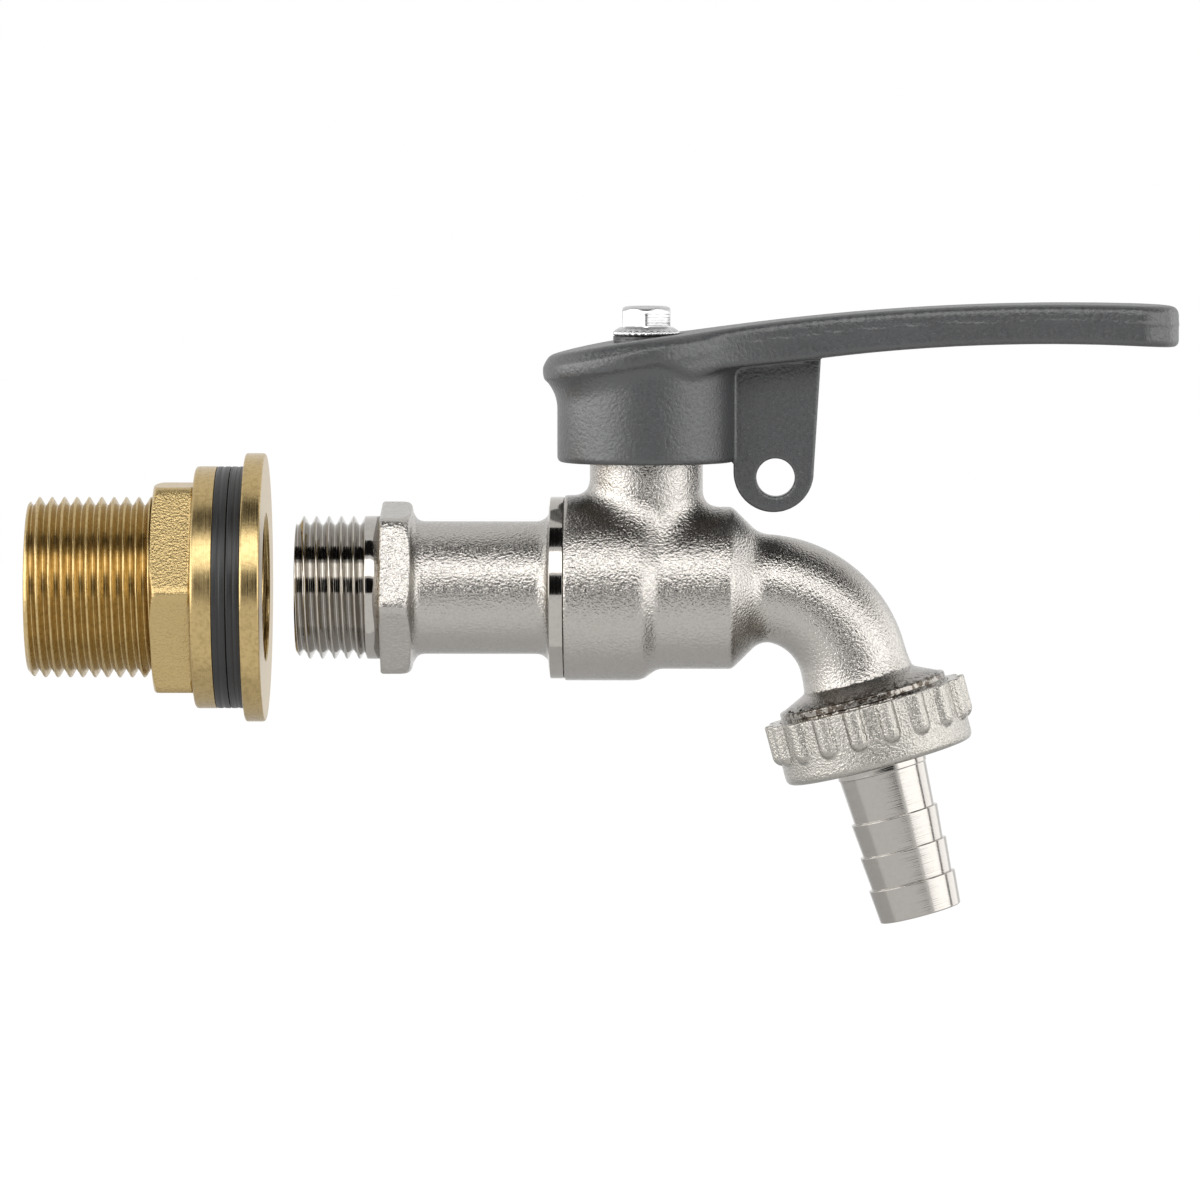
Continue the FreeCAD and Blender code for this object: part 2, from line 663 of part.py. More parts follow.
def make_stem():
    """The stem: tang, flange that keeps it in, ring groove, and the square for the lever."""
    body = new_body("stem", STEM_FRAME)
    groove = "stem_radius - stem_ring_section"
    groove_top = f"({STEM_RING_LOW} + stem_ring_section + 2 * running_gap)"
    corners = [
        ("0", STEM_LOW),
        ("stem_flange_radius", STEM_LOW),
        ("stem_flange_radius", THRUST_LOW),
        ("stem_radius", THRUST_LOW),
        ("stem_radius", STEM_RING_LOW),
        (groove, STEM_RING_LOW),
        (groove, groove_top),
        ("stem_radius", groove_top),
        ("stem_radius", LEVER_SEAT),
        ("0", LEVER_SEAT),
    ]
    turned(body, "stem_shaft", corners, axis="V_Axis")
    tang = new_sketch(body, "tang_outline", "XY_Plane", placement(z=STEM_LOW))
    half_width = "(slot_width / 2 - loose_gap / 2)"
    half_length = "(tang_length / 2)"
    corners = [
        (f"-{half_width}", f"-{half_length}"),
        (half_width, f"-{half_length}"),
        (half_width, half_length),
        (f"-{half_width}", half_length),
    ]
    draw(tang, corners)
    depth = f"{STEM_LOW} - waterway_radius - slot_floor - loose_gap"
    pad(body, "tang", tang, depth).Reversed = True
    square = new_sketch(body, "square_outline", "XY_Plane", placement(z=LEVER_SEAT))
    half = "(stem_square_flats / 2)"
    draw(square, [(f"-{half}", f"-{half}"), (half, f"-{half}"), (half, half), (f"-{half}", half)])
    pad(body, "stem_square", square, f"{SQUARE_TOP} - {LEVER_SEAT}")
    tapped = new_sketch(body, "tapped_circle", "XY_Plane", placement(z=SQUARE_TOP))
    draw_circle(tapped, "bolt_radius + running_gap")
    pad(body, "tapped_hole", tapped, "bolt_grip + free_gap", kind="Pocket")
    return body


def make_stem_ring():
    """The O-ring in the stem's groove."""
    ring_object = doc.addObject("Part::Torus", "stem_o_ring")
    ring_object.Label = "stem_o_ring"
    radius = "stem_radius - stem_ring_section / 2 + running_gap"
    ring_object.setExpression("Radius1", formula(radius))
    ring_object.setExpression("Radius2", formula("stem_ring_section / 2 - running_gap"))
    height = f"{STEM_RING_LOW} + stem_ring_section / 2 + running_gap"
    ring_object.setExpression("Placement", formula(placement("ball_place", z=height)))
    return ring_object


def make_gland_nut():
    """The hexagon nut that presses the packing round the stem."""
    body = new_body("gland_nut", STEM_FRAME)
    corners = [
        (STEM_HOLE, PACKING_TOP),
        (PACKING_BOX, PACKING_TOP),
        (PACKING_BOX, NECK_TOP),
        (STEM_HOLE, NECK_TOP),
    ]
    turned(body, "gland_screw", corners, axis="V_Axis")
    outline = new_sketch(body, "gland_hexagon", "XY_Plane", placement(z=NECK_TOP))
    draw_hexagon(outline, "gland_flats")
    pad(body, "gland_hex", outline, "gland_hex_height")
    bore = new_sketch(body, "gland_bore_circle", "XY_Plane", placement(z=GLAND_TOP))
    draw_circle(bore, STEM_HOLE)
    pad(body, "gland_bore", bore, "gland_hex_height + gland_screw_length", kind="Pocket")
    return body


def lever_plan():
    """The lever from above: round head, narrow neck and a wider rounded tip."""
    head_x = f"{HEAD_RADIUS} * cos(head_corner) - head_shift"
    head_y = f"{HEAD_RADIUS} * sin(head_corner)"
    corner_x = "lever_reach - arm_tip_round - arm_corner_along"
    end_x = "lever_reach - arm_tip_round"
    end_y = "arm_tip_width / 2 - arm_corner_across"
    side = [
        (head_x, head_y),
        ("arm_neck_reach", "arm_neck_width / 2"),
        (corner_x, "arm_tip_width / 2"),
        (end_x, end_y),
    ]
    far_side = list(reversed(side))
    near_side = [(across, f"-({up})") for across, up in side]
    corners = near_side + far_side + [(HEAD_LEFT, "0")]
    end_radius = f"(({end_y}) ^ 2 + arm_tip_round ^ 2) / 2 / arm_tip_round"
    radii = ["arm_neck_radius", "arm_side_radius", "arm_tip_corner", end_radius]
    radii += ["arm_tip_corner", "arm_side_radius", "arm_neck_radius", HEAD_RADIUS, HEAD_RADIUS]
    turns = [-1, -1, 1, 1, 1, -1, -1, 1, 1]
    return corners, dict(enumerate(zip(radii, turns)))


def make_lever():
    """The die-cast lever: cup over the gland, sloping head, curved arm and padlock lug."""
    body = new_body("lever", LEVER_FRAME)
    roof = "(arm_tip_top + 2 * cut_margin)"
    whole_width = f"2 * {HEAD_RADIUS} + 2 * cut_margin"
    plan = new_sketch(body, "lever_plan", "XY_Plane", placement(z="-head_flare_low"))
    draw(plan, *lever_plan())
    pad(body, "arm_blank", plan, f"{roof} + head_flare_low")

    # What lies under the head plate and under the arm is cut away across the whole width.
    under = new_sketch(body, "arm_underside", "XZ_Plane")
    plate_rise = f"(arm_root_reach - {HEAD_LEFT}) * tan(head_tilt)"
    corners = [
        (f"{HEAD_LEFT} - cut_margin", "-head_flare_low - cut_margin"),
        ("lever_reach + cut_margin", "-head_flare_low - cut_margin"),
        ("lever_reach + cut_margin", "arm_tip_low"),
        ("lever_reach", "arm_tip_low"),
        ("arm_root_reach", "arm_root_low"),
        ("arm_root_reach", f"head_plate_low + {plate_rise}"),
        (HEAD_LEFT, "head_plate_low"),
        (f"{HEAD_LEFT} - cut_margin", "head_plate_low"),
    ]
    draw(under, corners, {3: ("arm_low_radius", 1)})
    pad(body, "underside_cut", under, whole_width, both_ways=True, kind="Pocket")

    over = new_sketch(body, "lever_top", "XZ_Plane")
    corners = [
        (f"{HEAD_LEFT} - cut_margin", f"{roof} + cut_margin"),
        (f"{HEAD_LEFT} - cut_margin", "head_top_height"),
        (HEAD_LEFT, "head_top_height"),
        ("head_top_reach", "arm_root_height"),
        ("lever_reach", "arm_tip_top"),
        ("lever_reach + cut_margin", "arm_tip_top"),
        ("lever_reach + cut_margin", f"{roof} + cut_margin"),
    ]
    draw(over, corners, {2: ("head_top_radius", -1), 3: ("arm_top_radius", -1)})
    top_cut = pad(body, "top_cut", over, whole_width, both_ways=True, kind="Pocket")

    # The long edges are rounded, along the top of the head and arm and under the arm.
    def on_rim(edge):
        box = edge.BoundBox
        above = box.ZMin > worked_out("head_top_height - loose_gap")
        below = box.XMin > worked_out("head_top_reach") and box.ZMax < worked_out("arm_tip_low + cut_margin")
        return box.XLength > NEAR and (above or below)

    fillet(body, "rim_rounding", top_cut, "lever_edge_fillet", on_rim)

    cup = new_sketch(body, "cup_circle", "XY_Plane", placement(z="-cup_depth"))
    draw_circle(cup, CUP_RADIUS)
    pad(body, "cup", cup, "cup_depth - head_flare_low")
    low = new_sketch(body, "flare_low", "XY_Plane", placement(z="-head_flare_low"))
    draw_circle(low, CUP_RADIUS)
    tilt = f"{HEAD_RADIUS} * tan(head_tilt)"
    high_place = placement("-head_shift", z=f"head_plate_low + {tilt}", angle="-head_tilt")
    high = draw_circle(new_sketch(body, "flare_high", "XY_Plane", high_place), HEAD_RADIUS)
    flare = body.newObject("PartDesign::AdditiveLoft", "head_flare")
    flare.Profile = low
    flare.Sections = [high]

    def at_cup_mouth(edge):
        return edge.BoundBox.ZMax < NEAR - worked_out("cup_depth")

    fillet(body, "mouth_rounding", flare, "cup_mouth_fillet", at_cup_mouth)
    cavity = new_sketch(body, "cup_cavity_circle", "XY_Plane", placement(z="-cup_depth"))
    draw_circle(cavity, CUP_INNER)
    pad(body, "cup_cavity", cavity, "cup_depth", kind="Pocket").Reversed = True

    # A tab on the cup's wall runs in the gap of the body's stop collar.
    tab = new_sketch(body, "stop_tab_outline", "XY_Plane", placement(z="-cup_depth + stop_tab_rise"))
    middle = "(90 + lever_turn / 2)"
    corners = []
    for reach, side in (("inner", "-"), ("outer", "-"), ("outer", "+"), ("inner", "+")):
        radius = f"({NECK_RADIUS} + free_gap)" if reach == "inner" else f"({CUP_INNER} + cup_wall / 2)"
        turn = f"({middle} {side} stop_tab_angle / 2)"
        corners.append((f"{radius} * cos{turn}", f"{radius} * sin{turn}"))
    draw(tab, corners, {1: (f"{CUP_INNER} + cup_wall / 2", 1), 3: (f"{NECK_RADIUS} + free_gap", -1)})
    tab_top = f"{STOP_TOP} - {LEVER_SEAT} + cup_depth"
    pad(body, "stop_tab", tab, f"{tab_top} - stop_tab_rise")

    square = new_sketch(body, "square_hole_outline", "XY_Plane")
    half = "(stem_square_flats / 2 + lever_square_gap)"
    draw(square, [(f"-{half}", f"-{half}"), (half, f"-{half}"), (half, half), (f"-{half}", half)])
    pad(body, "square_hole", square, "lever_web + cut_margin", kind="Pocket").Reversed = True
    spot = new_sketch(body, "spot_face_circle", "XY_Plane", placement(z="lever_web"))
    draw_circle(spot, "washer_radius + spot_face_gap")
    pad(body, "spot_face", spot, roof, kind="Pocket").Reversed = True

    lug = new_sketch(body, "lug_outline", "XZ_Plane")
    shoulder = "lever_web / 2"
    corners = [
        (f"{LUG_PLACE} - lug_round_radius", "-lug_round_drop"),
        (LUG_PLACE, "-lug_round_drop - lug_round_radius"),
        (f"{LUG_PLACE} + lug_round_radius", "-lug_round_drop"),
        (f"{LUG_PLACE} + lug_round_radius + lug_taper", shoulder),
        (f"{CUP_RADIUS} - cup_wall / 2", shoulder),
        (f"{CUP_RADIUS} - cup_wall / 2", "-cup_depth + lug_root_rise"),
        (f"{LUG_PLACE} - lug_round_radius", "-cup_depth + lug_root_rise"),
    ]
    draw(lug, corners, {0: ("lug_round_radius", 1), 1: ("lug_round_radius", 1)})
    pad(body, "padlock_lug", lug, "lug_thickness", both_ways=True)
    hole = new_sketch(body, "lug_hole_circle", "XZ_Plane")
    draw_circle(hole, "lug_hole_radius", LUG_PLACE, "-lug_hole_drop")
    pad(body, "lug_hole", hole, "lug_thickness + 2 * cut_margin", both_ways=True, kind="Pocket")
    return body


def make_bolt():
    """The flange bolt that clamps the lever to the stem."""
    body = new_body("lever_bolt", STEM_FRAME)
    flange_top = f"({BOLT_SEAT} + bolt_flange_height)"
    corners = [
        ("0", f"{SQUARE_TOP} - bolt_grip"),
        ("bolt_radius", f"{SQUARE_TOP} - bolt_grip"),
        ("bolt_radius", BOLT_SEAT),
        ("bolt_flange_radius", BOLT_SEAT),
        ("bolt_flange_radius", f"{BOLT_SEAT} + bolt_flange_height / 2"),
        ("bolt_flats / 2", flange_top),
        ("0", flange_top),
    ]
    turned(body, "bolt_shank", corners, axis="V_Axis")
    outline_place = placement(z=f"{BOLT_SEAT} + bolt_flange_height / 2")
    outline = new_sketch(body, "bolt_hexagon", "XY_Plane", outline_place)
    draw_hexagon(outline, "bolt_flats", "30")
    pad(body, "bolt_hex", outline, "bolt_head_height + bolt_flange_height / 2")
    top = f"({flange_top} + bolt_head_height)"
    corners = [
        ("bolt_flats / 2 - bolt_chamfer_inset", top),
        ("bolt_flats / 2 / cos(30) + chamfer_margin", f"{top} - bolt_chamfer_drop"),
        ("bolt_flats / 2 / cos(30) + chamfer_margin", top),
    ]
    turned(body, "bolt_chamfer", corners, axis="V_Axis", kind="Groove")
    return body


def make_union_nut():
    """The hose union nut: thin wall, inner lip and cast grip ribs."""
    turn = "rotation(vector(1;0;0); union_nut_angle)"
    body = new_body("union_nut", f"{OUTLET_FRAME} * placement(vector(0; 0; 0); {turn})")
    corners = [
        (NUT_TOP, NUT_BORE),
        (NUT_TOP, NUT_RADIUS),
        (f"{NUT_END} - union_nut_round", NUT_RADIUS),
        (NUT_END, f"{NUT_RADIUS} - union_nut_round"),
        (NUT_END, "tail_root_radius + free_gap"),
        (LIP_START, "tail_root_radius + free_gap"),
        (LIP_START, NUT_BORE),
    ]
    turned(body, "nut_shell", corners, {2: ("union_nut_round", -1)})
    face = f"({NUT_RADIUS} + union_rib_height)"
    rib = new_sketch(body, "rib_outline", "XZ_Plane", placement(z=face))
    half = "(union_rib_width / 2)"
    end = f"({NUT_END} - union_rib_short)"
    corners = [
        (NUT_TOP, f"-{half}"),
        (f"{end} - {half}", f"-{half}"),
        (end, "0"),
        (f"{end} - {half}", half),
        (NUT_TOP, half),
    ]
    draw(rib, corners, {1: (half, 1), 2: (half, 1)})
    grip = pad(body, "grip_rib", rib, "union_rib_height + union_nut_wall / 2")
    grip.Reversed = True
    ribs = body.newObject("PartDesign::PolarPattern", "grip_ribs")
    ribs.Originals = [grip]
    ribs.Axis = (origin_feature(body, "X_Axis"), [""])
    ribs.Angle = 360
    ribs.setExpression("Occurrences", formula("union_rib_count"))
    body.Tip = ribs
    return body


def make_hose_tail():
    """The turned hose tail: flange, plain root and three barbs."""
    body = new_body("hose_tail", OUTLET_FRAME)
    flange_radius = "union_thread_radius - 2 * loose_gap"
    corners = [
        (TAIL_START, "tail_bore_radius"),
        (TAIL_START, flange_radius),
        (LIP_START, flange_radius),
        (LIP_START, "tail_root_radius"),
        (NUT_END, "tail_root_radius"),
        (f"{NUT_END} + tail_plain_length", "tail_end_radius"),
    ]
    for number in range(SIZES["barb_count"]):
        start = f"{NUT_END} + tail_plain_length + {number} * barb_pitch"
        corners.append((start, "barb_radius"))
        corners.append((f"{start} + barb_pitch", "tail_end_radius"))
    corners.append((corners[-1][0], "tail_bore_radius"))
    turned(body, "tail_turning", corners)
    return body


def make_tank_bushing():
    """The brass bushing: flange with the inlet socket, and the threaded shank."""
    body = new_body("tank_bushing", TANK_FRAME)
    socket = "(inlet_thread_radius + tank_socket_gap)"
    shank_end = "(tank_flange_thickness + tank_shank_length)"
    corners = [
        ("0", socket),
        ("0", "tank_flange_radius - tank_flange_chamfer"),
        ("tank_flange_chamfer", "tank_flange_radius"),
        ("tank_flange_thickness - tank_flange_chamfer", "tank_flange_radius"),
        ("tank_flange_thickness", "tank_flange_radius - tank_flange_chamfer"),
        ("tank_flange_thickness", "tank_thread_radius"),
        (f"{shank_end} - tank_shank_chamfer", "tank_thread_radius"),
        (shank_end, "tank_thread_radius - tank_shank_chamfer"),
        (shank_end, "tank_bore_radius"),
        (f"tank_socket_depth + {socket} - tank_bore_radius", "tank_bore_radius"),
        ("tank_socket_depth", socket),
    ]
    turned(body, "bushing_turning", corners)
    return body


def make_tank_nut():
    """The brass nut: cast hexagon on its own round flange."""
    body = new_body("tank_nut", TANK_FRAME)
    hex_start = f"({TANK_NUT_PLACE} + tank_nut_flange)"
    hex_end = f"({hex_start} + tank_nut_height)"
    corners = [
        (TANK_NUT_PLACE, TANK_NUT_BORE),
        (TANK_NUT_PLACE, GASKET_RADIUS),
        (f"{hex_start} - tank_flange_chamfer", GASKET_RADIUS),
        (hex_start, f"{GASKET_RADIUS} - tank_flange_chamfer"),
        (hex_start, TANK_NUT_BORE),
    ]
    turned(body, "nut_flange", corners)
    outline = new_sketch(body, "nut_hexagon", "YZ_Plane", placement(z=hex_start))
    draw_hexagon(outline, f"2 * {TANK_NUT_HALF}")
    pad(body, "nut_hex", outline, "tank_nut_height")
    hole = new_sketch(body, "nut_bore_circle", "YZ_Plane", placement(z=hex_end))
    draw_circle(hole, TANK_NUT_BORE)
    pad(body, "nut_bore", hole, "tank_nut_height", kind="Pocket")
    corners = [
        (hex_end, f"{TANK_NUT_CORNER} - tank_nut_chamfer"),
        (f"{hex_end} - tank_nut_chamfer_drop", f"{TANK_NUT_CORNER} + chamfer_margin"),
        (hex_end, f"{TANK_NUT_CORNER} + chamfer_margin"),
    ]
    turned(body, "nut_chamfer", corners, kind="Groove")
    return body


packing_outer = f"({PACKING_BOX} - running_gap)"
gasket_start = "tank_flange_thickness"
gasket_middle = f"{gasket_start} + tank_gasket_thickness"
pieces = [
    make_valve_body(),
    make_inlet_adapter(),
    make_adapter_ring(),
    make_ball(),
    make_seat("inlet_seat", "180"),
    make_seat("outlet_seat", "0"),
    make_stem(),
    ring("thrust_washer", STEM_FRAME, STEM_HOLE, "stem_flange_radius", THRUST_LOW, THRUST_TOP, "V_Axis"),
    make_stem_ring(),
    ring("stem_packing", STEM_FRAME, STEM_HOLE, packing_outer, PACKING_LOW, PACKING_TOP, "V_Axis"),
    make_gland_nut(),
    make_lever(),
    make_bolt(),
    ring("lever_washer", STEM_FRAME, WASHER_BORE, "washer_radius", SPOT_FACE, BOLT_SEAT, "V_Axis"),
    make_union_nut(),
    ring(
        "union_gasket",
        OUTLET_FRAME,
        "union_gasket_bore",
        "union_thread_radius - 2 * loose_gap",
        OUTLET_END,
        TAIL_START,
    ),
    make_hose_tail(),
    make_tank_bushing(),
    ring("outer_gasket", TANK_FRAME, GASKET_BORE, GASKET_RADIUS, gasket_start, gasket_middle),
    ring("inner_gasket", TANK_FRAME, GASKET_BORE, GASKET_RADIUS, gasket_middle, TANK_NUT_PLACE),
    make_tank_nut(),
]
doc.recompute()

faults = [thing.Name for thing in doc.Objects if {"Invalid", "Error"} & set(thing.State)]
for piece in pieces:
    shape = piece.Shape
    if shape.isNull() or not shape.isValid() or len(shape.Solids) != 1:
        faults.append(piece.Label)
if faults:
    raise RuntimeError("These did not build: " + ", ".join(faults))

os.makedirs("parts", exist_ok=True)
for piece in pieces:
    piece.Shape.exportStep(f"parts/{piece.Label}.step")
    print(f"{piece.Label}: {piece.Shape.Volume:.1f} mm3")
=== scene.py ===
"""Water butt tap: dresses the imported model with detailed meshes, materials, light and camera.

Lengths in this file are millimetres in the model's own frame: the inlet axis is X, up is Z, and the
photograph looks along +Y. They become metres where a mesh is made."""
import math

import bpy
import numpy as np
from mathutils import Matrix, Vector


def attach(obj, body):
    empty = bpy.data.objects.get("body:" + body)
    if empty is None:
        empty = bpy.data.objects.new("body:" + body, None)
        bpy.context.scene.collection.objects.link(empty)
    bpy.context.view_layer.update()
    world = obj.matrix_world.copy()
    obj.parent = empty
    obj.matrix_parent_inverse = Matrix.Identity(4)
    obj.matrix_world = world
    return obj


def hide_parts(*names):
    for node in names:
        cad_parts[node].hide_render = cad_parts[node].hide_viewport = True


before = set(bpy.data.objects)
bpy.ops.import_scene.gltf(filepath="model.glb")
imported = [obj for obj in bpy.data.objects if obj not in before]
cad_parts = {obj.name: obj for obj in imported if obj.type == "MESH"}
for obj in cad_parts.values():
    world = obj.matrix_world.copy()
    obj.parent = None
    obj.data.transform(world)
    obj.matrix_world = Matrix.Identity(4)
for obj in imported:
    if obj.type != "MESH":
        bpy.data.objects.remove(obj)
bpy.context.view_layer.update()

MM = 0.001

# Axes of the tap: the stem, the spout's bend and the outlet.
STEM_X = 38.67
BEND_X = 55.4
BEND_RADIUS = 13.9
TURN = math.radians(75)
SPOUT_RADIUS = 7.85
OUTLET = np.array([69.697, 0.0, -13.526])
OUTLET_WAY = np.array([math.cos(TURN), 0.0, -math.sin(TURN)])
LEVER_SEAT = 29.0

ORIGIN = np.zeros(3)
ALONG_X = np.array([1.0, 0.0, 0.0])
AGAINST_X = np.array([-1.0, 0.0, 0.0])
UP = np.array([0.0, 0.0, 1.0])
TO_VIEWER = np.array([0.0, -1.0, 0.0])
TANK_PLACE = np.array([-16.95, 0.0, 0.0])

# Both of the tap's pipe threads have 14 turns to the inch.
PITCH = 1.814


# Shapes: profiles, turned pieces and threads.


def add_mesh(name, vertices, faces, material, body, slot, nodes, normals=None):
    """A piece from vertices in millimetres, set on its body in the nodes' stead."""
    mesh = bpy.data.meshes.new(name)
    mesh.from_pydata([tuple(point) for point in np.asarray(vertices) * MM], [], faces)
    mesh.shade_smooth()
    if normals is not None:
        mesh.normals_split_custom_set_from_vertices([tuple(normal) for normal in normals])
    mesh.update()
    mesh.materials.append(material)
    piece = bpy.data.objects.new(name, mesh)
    bpy.context.scene.collection.objects.link(piece)
    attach(piece, body)
    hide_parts(*nodes)


CORNER_STEPS = 4
CORNER_LEAD = 1.2


def soft_corners(points):
    """A profile with rounded corners. Each point is along, radius and the rounding's reach."""
    result = []
    for number, (along, radius, reach) in enumerate(points):
        here = np.array([along, radius], float)
        before = np.array(points[number - 1][:2], float)
        after = np.array(points[(number + 1) % len(points)][:2], float)
        back, on = before - here, after - here
        room = 0.45 * min(np.linalg.norm(back), np.linalg.norm(on))
        reach = min(reach, room)
        if reach <= 0:
            result.append(here)
            continue
        back = back / np.linalg.norm(back) * reach
        on = on / np.linalg.norm(on) * reach
        result.append(here + back * CORNER_LEAD)
        for step in range(CORNER_STEPS + 1):
            part = step / CORNER_STEPS
            result.append(here + back * (1 - part) ** 2 + on * part**2)
        result.append(here + on * CORNER_LEAD)
    return np.array(result)


def rings_to_mesh(along, radius, origin, way, side):
    """Vertices and faces of closed rings round an axis, from arrays of rings by segments."""
    rings, segments = radius.shape
    other = np.cross(way, side)
    angle = np.linspace(0, 2 * math.pi, segments, endpoint=False)
    out = np.cos(angle)[:, None] * side + np.sin(angle)[:, None] * other
    points = origin + along[..., None] * way + radius[..., None] * out[None]
    faces = []
    ring = np.arange(segments)
    following = (ring + 1) % segments
    for number in range(rings):
        first = number * segments
        last = ((number + 1) % rings) * segments
        quads = [first + ring, last + ring, last + following, first + following]
        faces.append(np.stack(quads, axis=1))
    return points.reshape(-1, 3), np.concatenate(faces).tolist()


def turned(name, profile, place, material, body, slot, nodes, segments, shape=None):
    """A turned piece. shape, if given, changes the radius by angle and place along the axis."""
    origin, way, side = place
    profile = np.asarray(profile, float)
    along = np.repeat(profile[:, :1], segments, axis=1)
    radius = np.repeat(profile[:, 1:2], segments, axis=1)
    if shape is not None:
        angle = np.linspace(0, 2 * math.pi, segments, endpoint=False)
        radius = shape(angle[None, :], along, radius)
    vertices, faces = rings_to_mesh(along, radius, origin, way, side)
    add_mesh(name, vertices, faces, material, body, slot, nodes)


def filled(profile, step):
    """A profile with points added so that no run is longer than step."""
    result = []
    for here, after in zip(profile, np.roll(profile, -1, axis=0)):
        pieces = max(1, math.ceil(np.linalg.norm(after - here) / step))
        result += [here + (after - here) * number / pieces for number in range(pieces)]
    return np.array(result)


def soft_min(first, second, reach):
    """The lesser of two fields, blended where they are within reach of one another."""
    near = np.maximum(reach - np.abs(first - second), 0) / reach
    return np.minimum(first, second) - near * near * reach / 4


def soft_max(first, second, reach):
    """The greater of two fields, blended where they are within reach of one another."""
    return -soft_min(-first, -second, reach)


def hexagon(angle, flats, first_corner, blunt):
    """The radius of a hexagon with slightly blunt corners."""
    turn = np.mod(angle - first_corner, math.pi / 3) - math.pi / 6
    corner = np.full_like(turn, flats / 2 / math.cos(math.pi / 6) - blunt)
    return soft_min(flats / 2 / np.cos(turn), corner, blunt * 2)


THREAD_FLAT = 0.1
THREAD_ROUNDING = 0.12


def thread_form(along, angle, crest, depth):
    """The radius of a right-hand thread with slightly rounded crests and roots."""
    phase = along / PITCH - angle / (2 * math.pi)
    flank = 2 * np.abs(phase - np.floor(phase) - 0.5)
    level = (flank - THREAD_FLAT) / (1 - 2 * THREAD_FLAT)
    level = soft_min(level, np.ones_like(level), THREAD_ROUNDING)
    level = soft_max(level, np.zeros_like(level), THREAD_ROUNDING)
    return crest - depth + depth * level


def blurred(values, reach, spread):
    """A line of values with its corners rounded by a bell curve."""
    bell = np.exp(-(np.linspace(-reach, reach, 81) ** 2) / (2 * spread**2))
    return np.convolve(np.pad(values, 40, mode="edge"), bell / bell.sum(), "valid")


# Cast forms, as the zero level of a field.

CORNERS = [(i, j, k) for i in (0, 1) for j in (0, 1) for k in (0, 1)]
EDGES = [
    (a, b) for a in CORNERS for b in CORNERS
    if sum(b) - sum(a) == 1 and all(q >= p for p, q in zip(a, b))
]
SETTLE_ROUNDS = 4


def gradient(field, points, step=0.01):
    """The slope of a field at points."""
    slopes = []
    for axis in range(3):
        shift = np.zeros(3)
        shift[axis] = step
        ahead, behind = (points + shift).T, (points - shift).T
        slopes.append((field(*ahead) - field(*behind)) / (2 * step))
    return np.stack(slopes, axis=1)


def cast_mesh(field, low, high, cell):
    """Vertices, faces and normals where the field is zero, one vertex to a crossed cell."""
    low, high = np.array(low, float), np.array(high, float)
    counts = np.ceil((high - low) / cell).astype(int) + 1
    axes = [low[axis] + cell * np.arange(counts[axis]) for axis in range(3)]
    value = field(axes[0][:, None, None], axes[1][None, :, None], axes[2][None, None, :])
    value = np.broadcast_to(value, counts)
    inside = value < 0
    cells = counts - 1
    held = np.zeros(cells, int)
    for i, j, k in CORNERS:
        held += inside[i : i + cells[0], j : j + cells[1], k : k + cells[2]]
    crossed = np.argwhere((held > 0) & (held < 8))
    number = np.full(cells, -1)
    number[tuple(crossed.T)] = np.arange(len(crossed))
    total = np.zeros((len(crossed), 3))
    hits = np.zeros(len(crossed))
    for first, second in EDGES:
        one = value[tuple((crossed + first).T)]
        two = value[tuple((crossed + second).T)]
        cut = (one < 0) != (two < 0)
        part = np.where(cut, one / np.where(cut, one - two, 1), 0)
        spot = np.array(first) + part[:, None] * (np.array(second) - np.array(first))
        total[cut] += spot[cut]
        hits += cut
    points = low + cell * (crossed + total / hits[:, None])
    faces = []
    for axis in range(3):
        sides = [(axis + 1) % 3, (axis + 2) % 3]
        step = np.eye(3, dtype=int)[axis]
        one, two = np.eye(3, dtype=int)[sides]
        ahead = tuple(slice(step[a], counts[a]) for a in range(3))
        behind = tuple(slice(0, counts[a] - step[a]) for a in range(3))
        flips = inside[behind] != inside[ahead]
        spots = np.argwhere(flips)
        spots = spots[np.all(spots[:, sides] > 0, axis=1)]
        spots = spots[np.all(spots < cells, axis=1)]
        around = [spots, spots - one, spots - one - two, spots - two]
        quads = np.stack([number[tuple(spot.T)] for spot in around], axis=1)
        outward = inside[tuple(spots.T)]
        quads[~outward] = quads[~outward][:, ::-1]
        faces.append(quads)
    faces = np.concatenate(faces)
    for _ in range(SETTLE_ROUNDS):
        slope = gradient(field, points)
        size = np.maximum(np.sum(slope * slope, axis=1), 1e-6)
        move = (field(*points.T) / size)[:, None] * slope
        points = points - np.clip(move, -cell / 2, cell / 2)
    slope = gradient(field, points)
    normals = slope / np.maximum(np.linalg.norm(slope, axis=1), 1e-9)[:, None]
    return points, faces.tolist(), normals


# Materials.


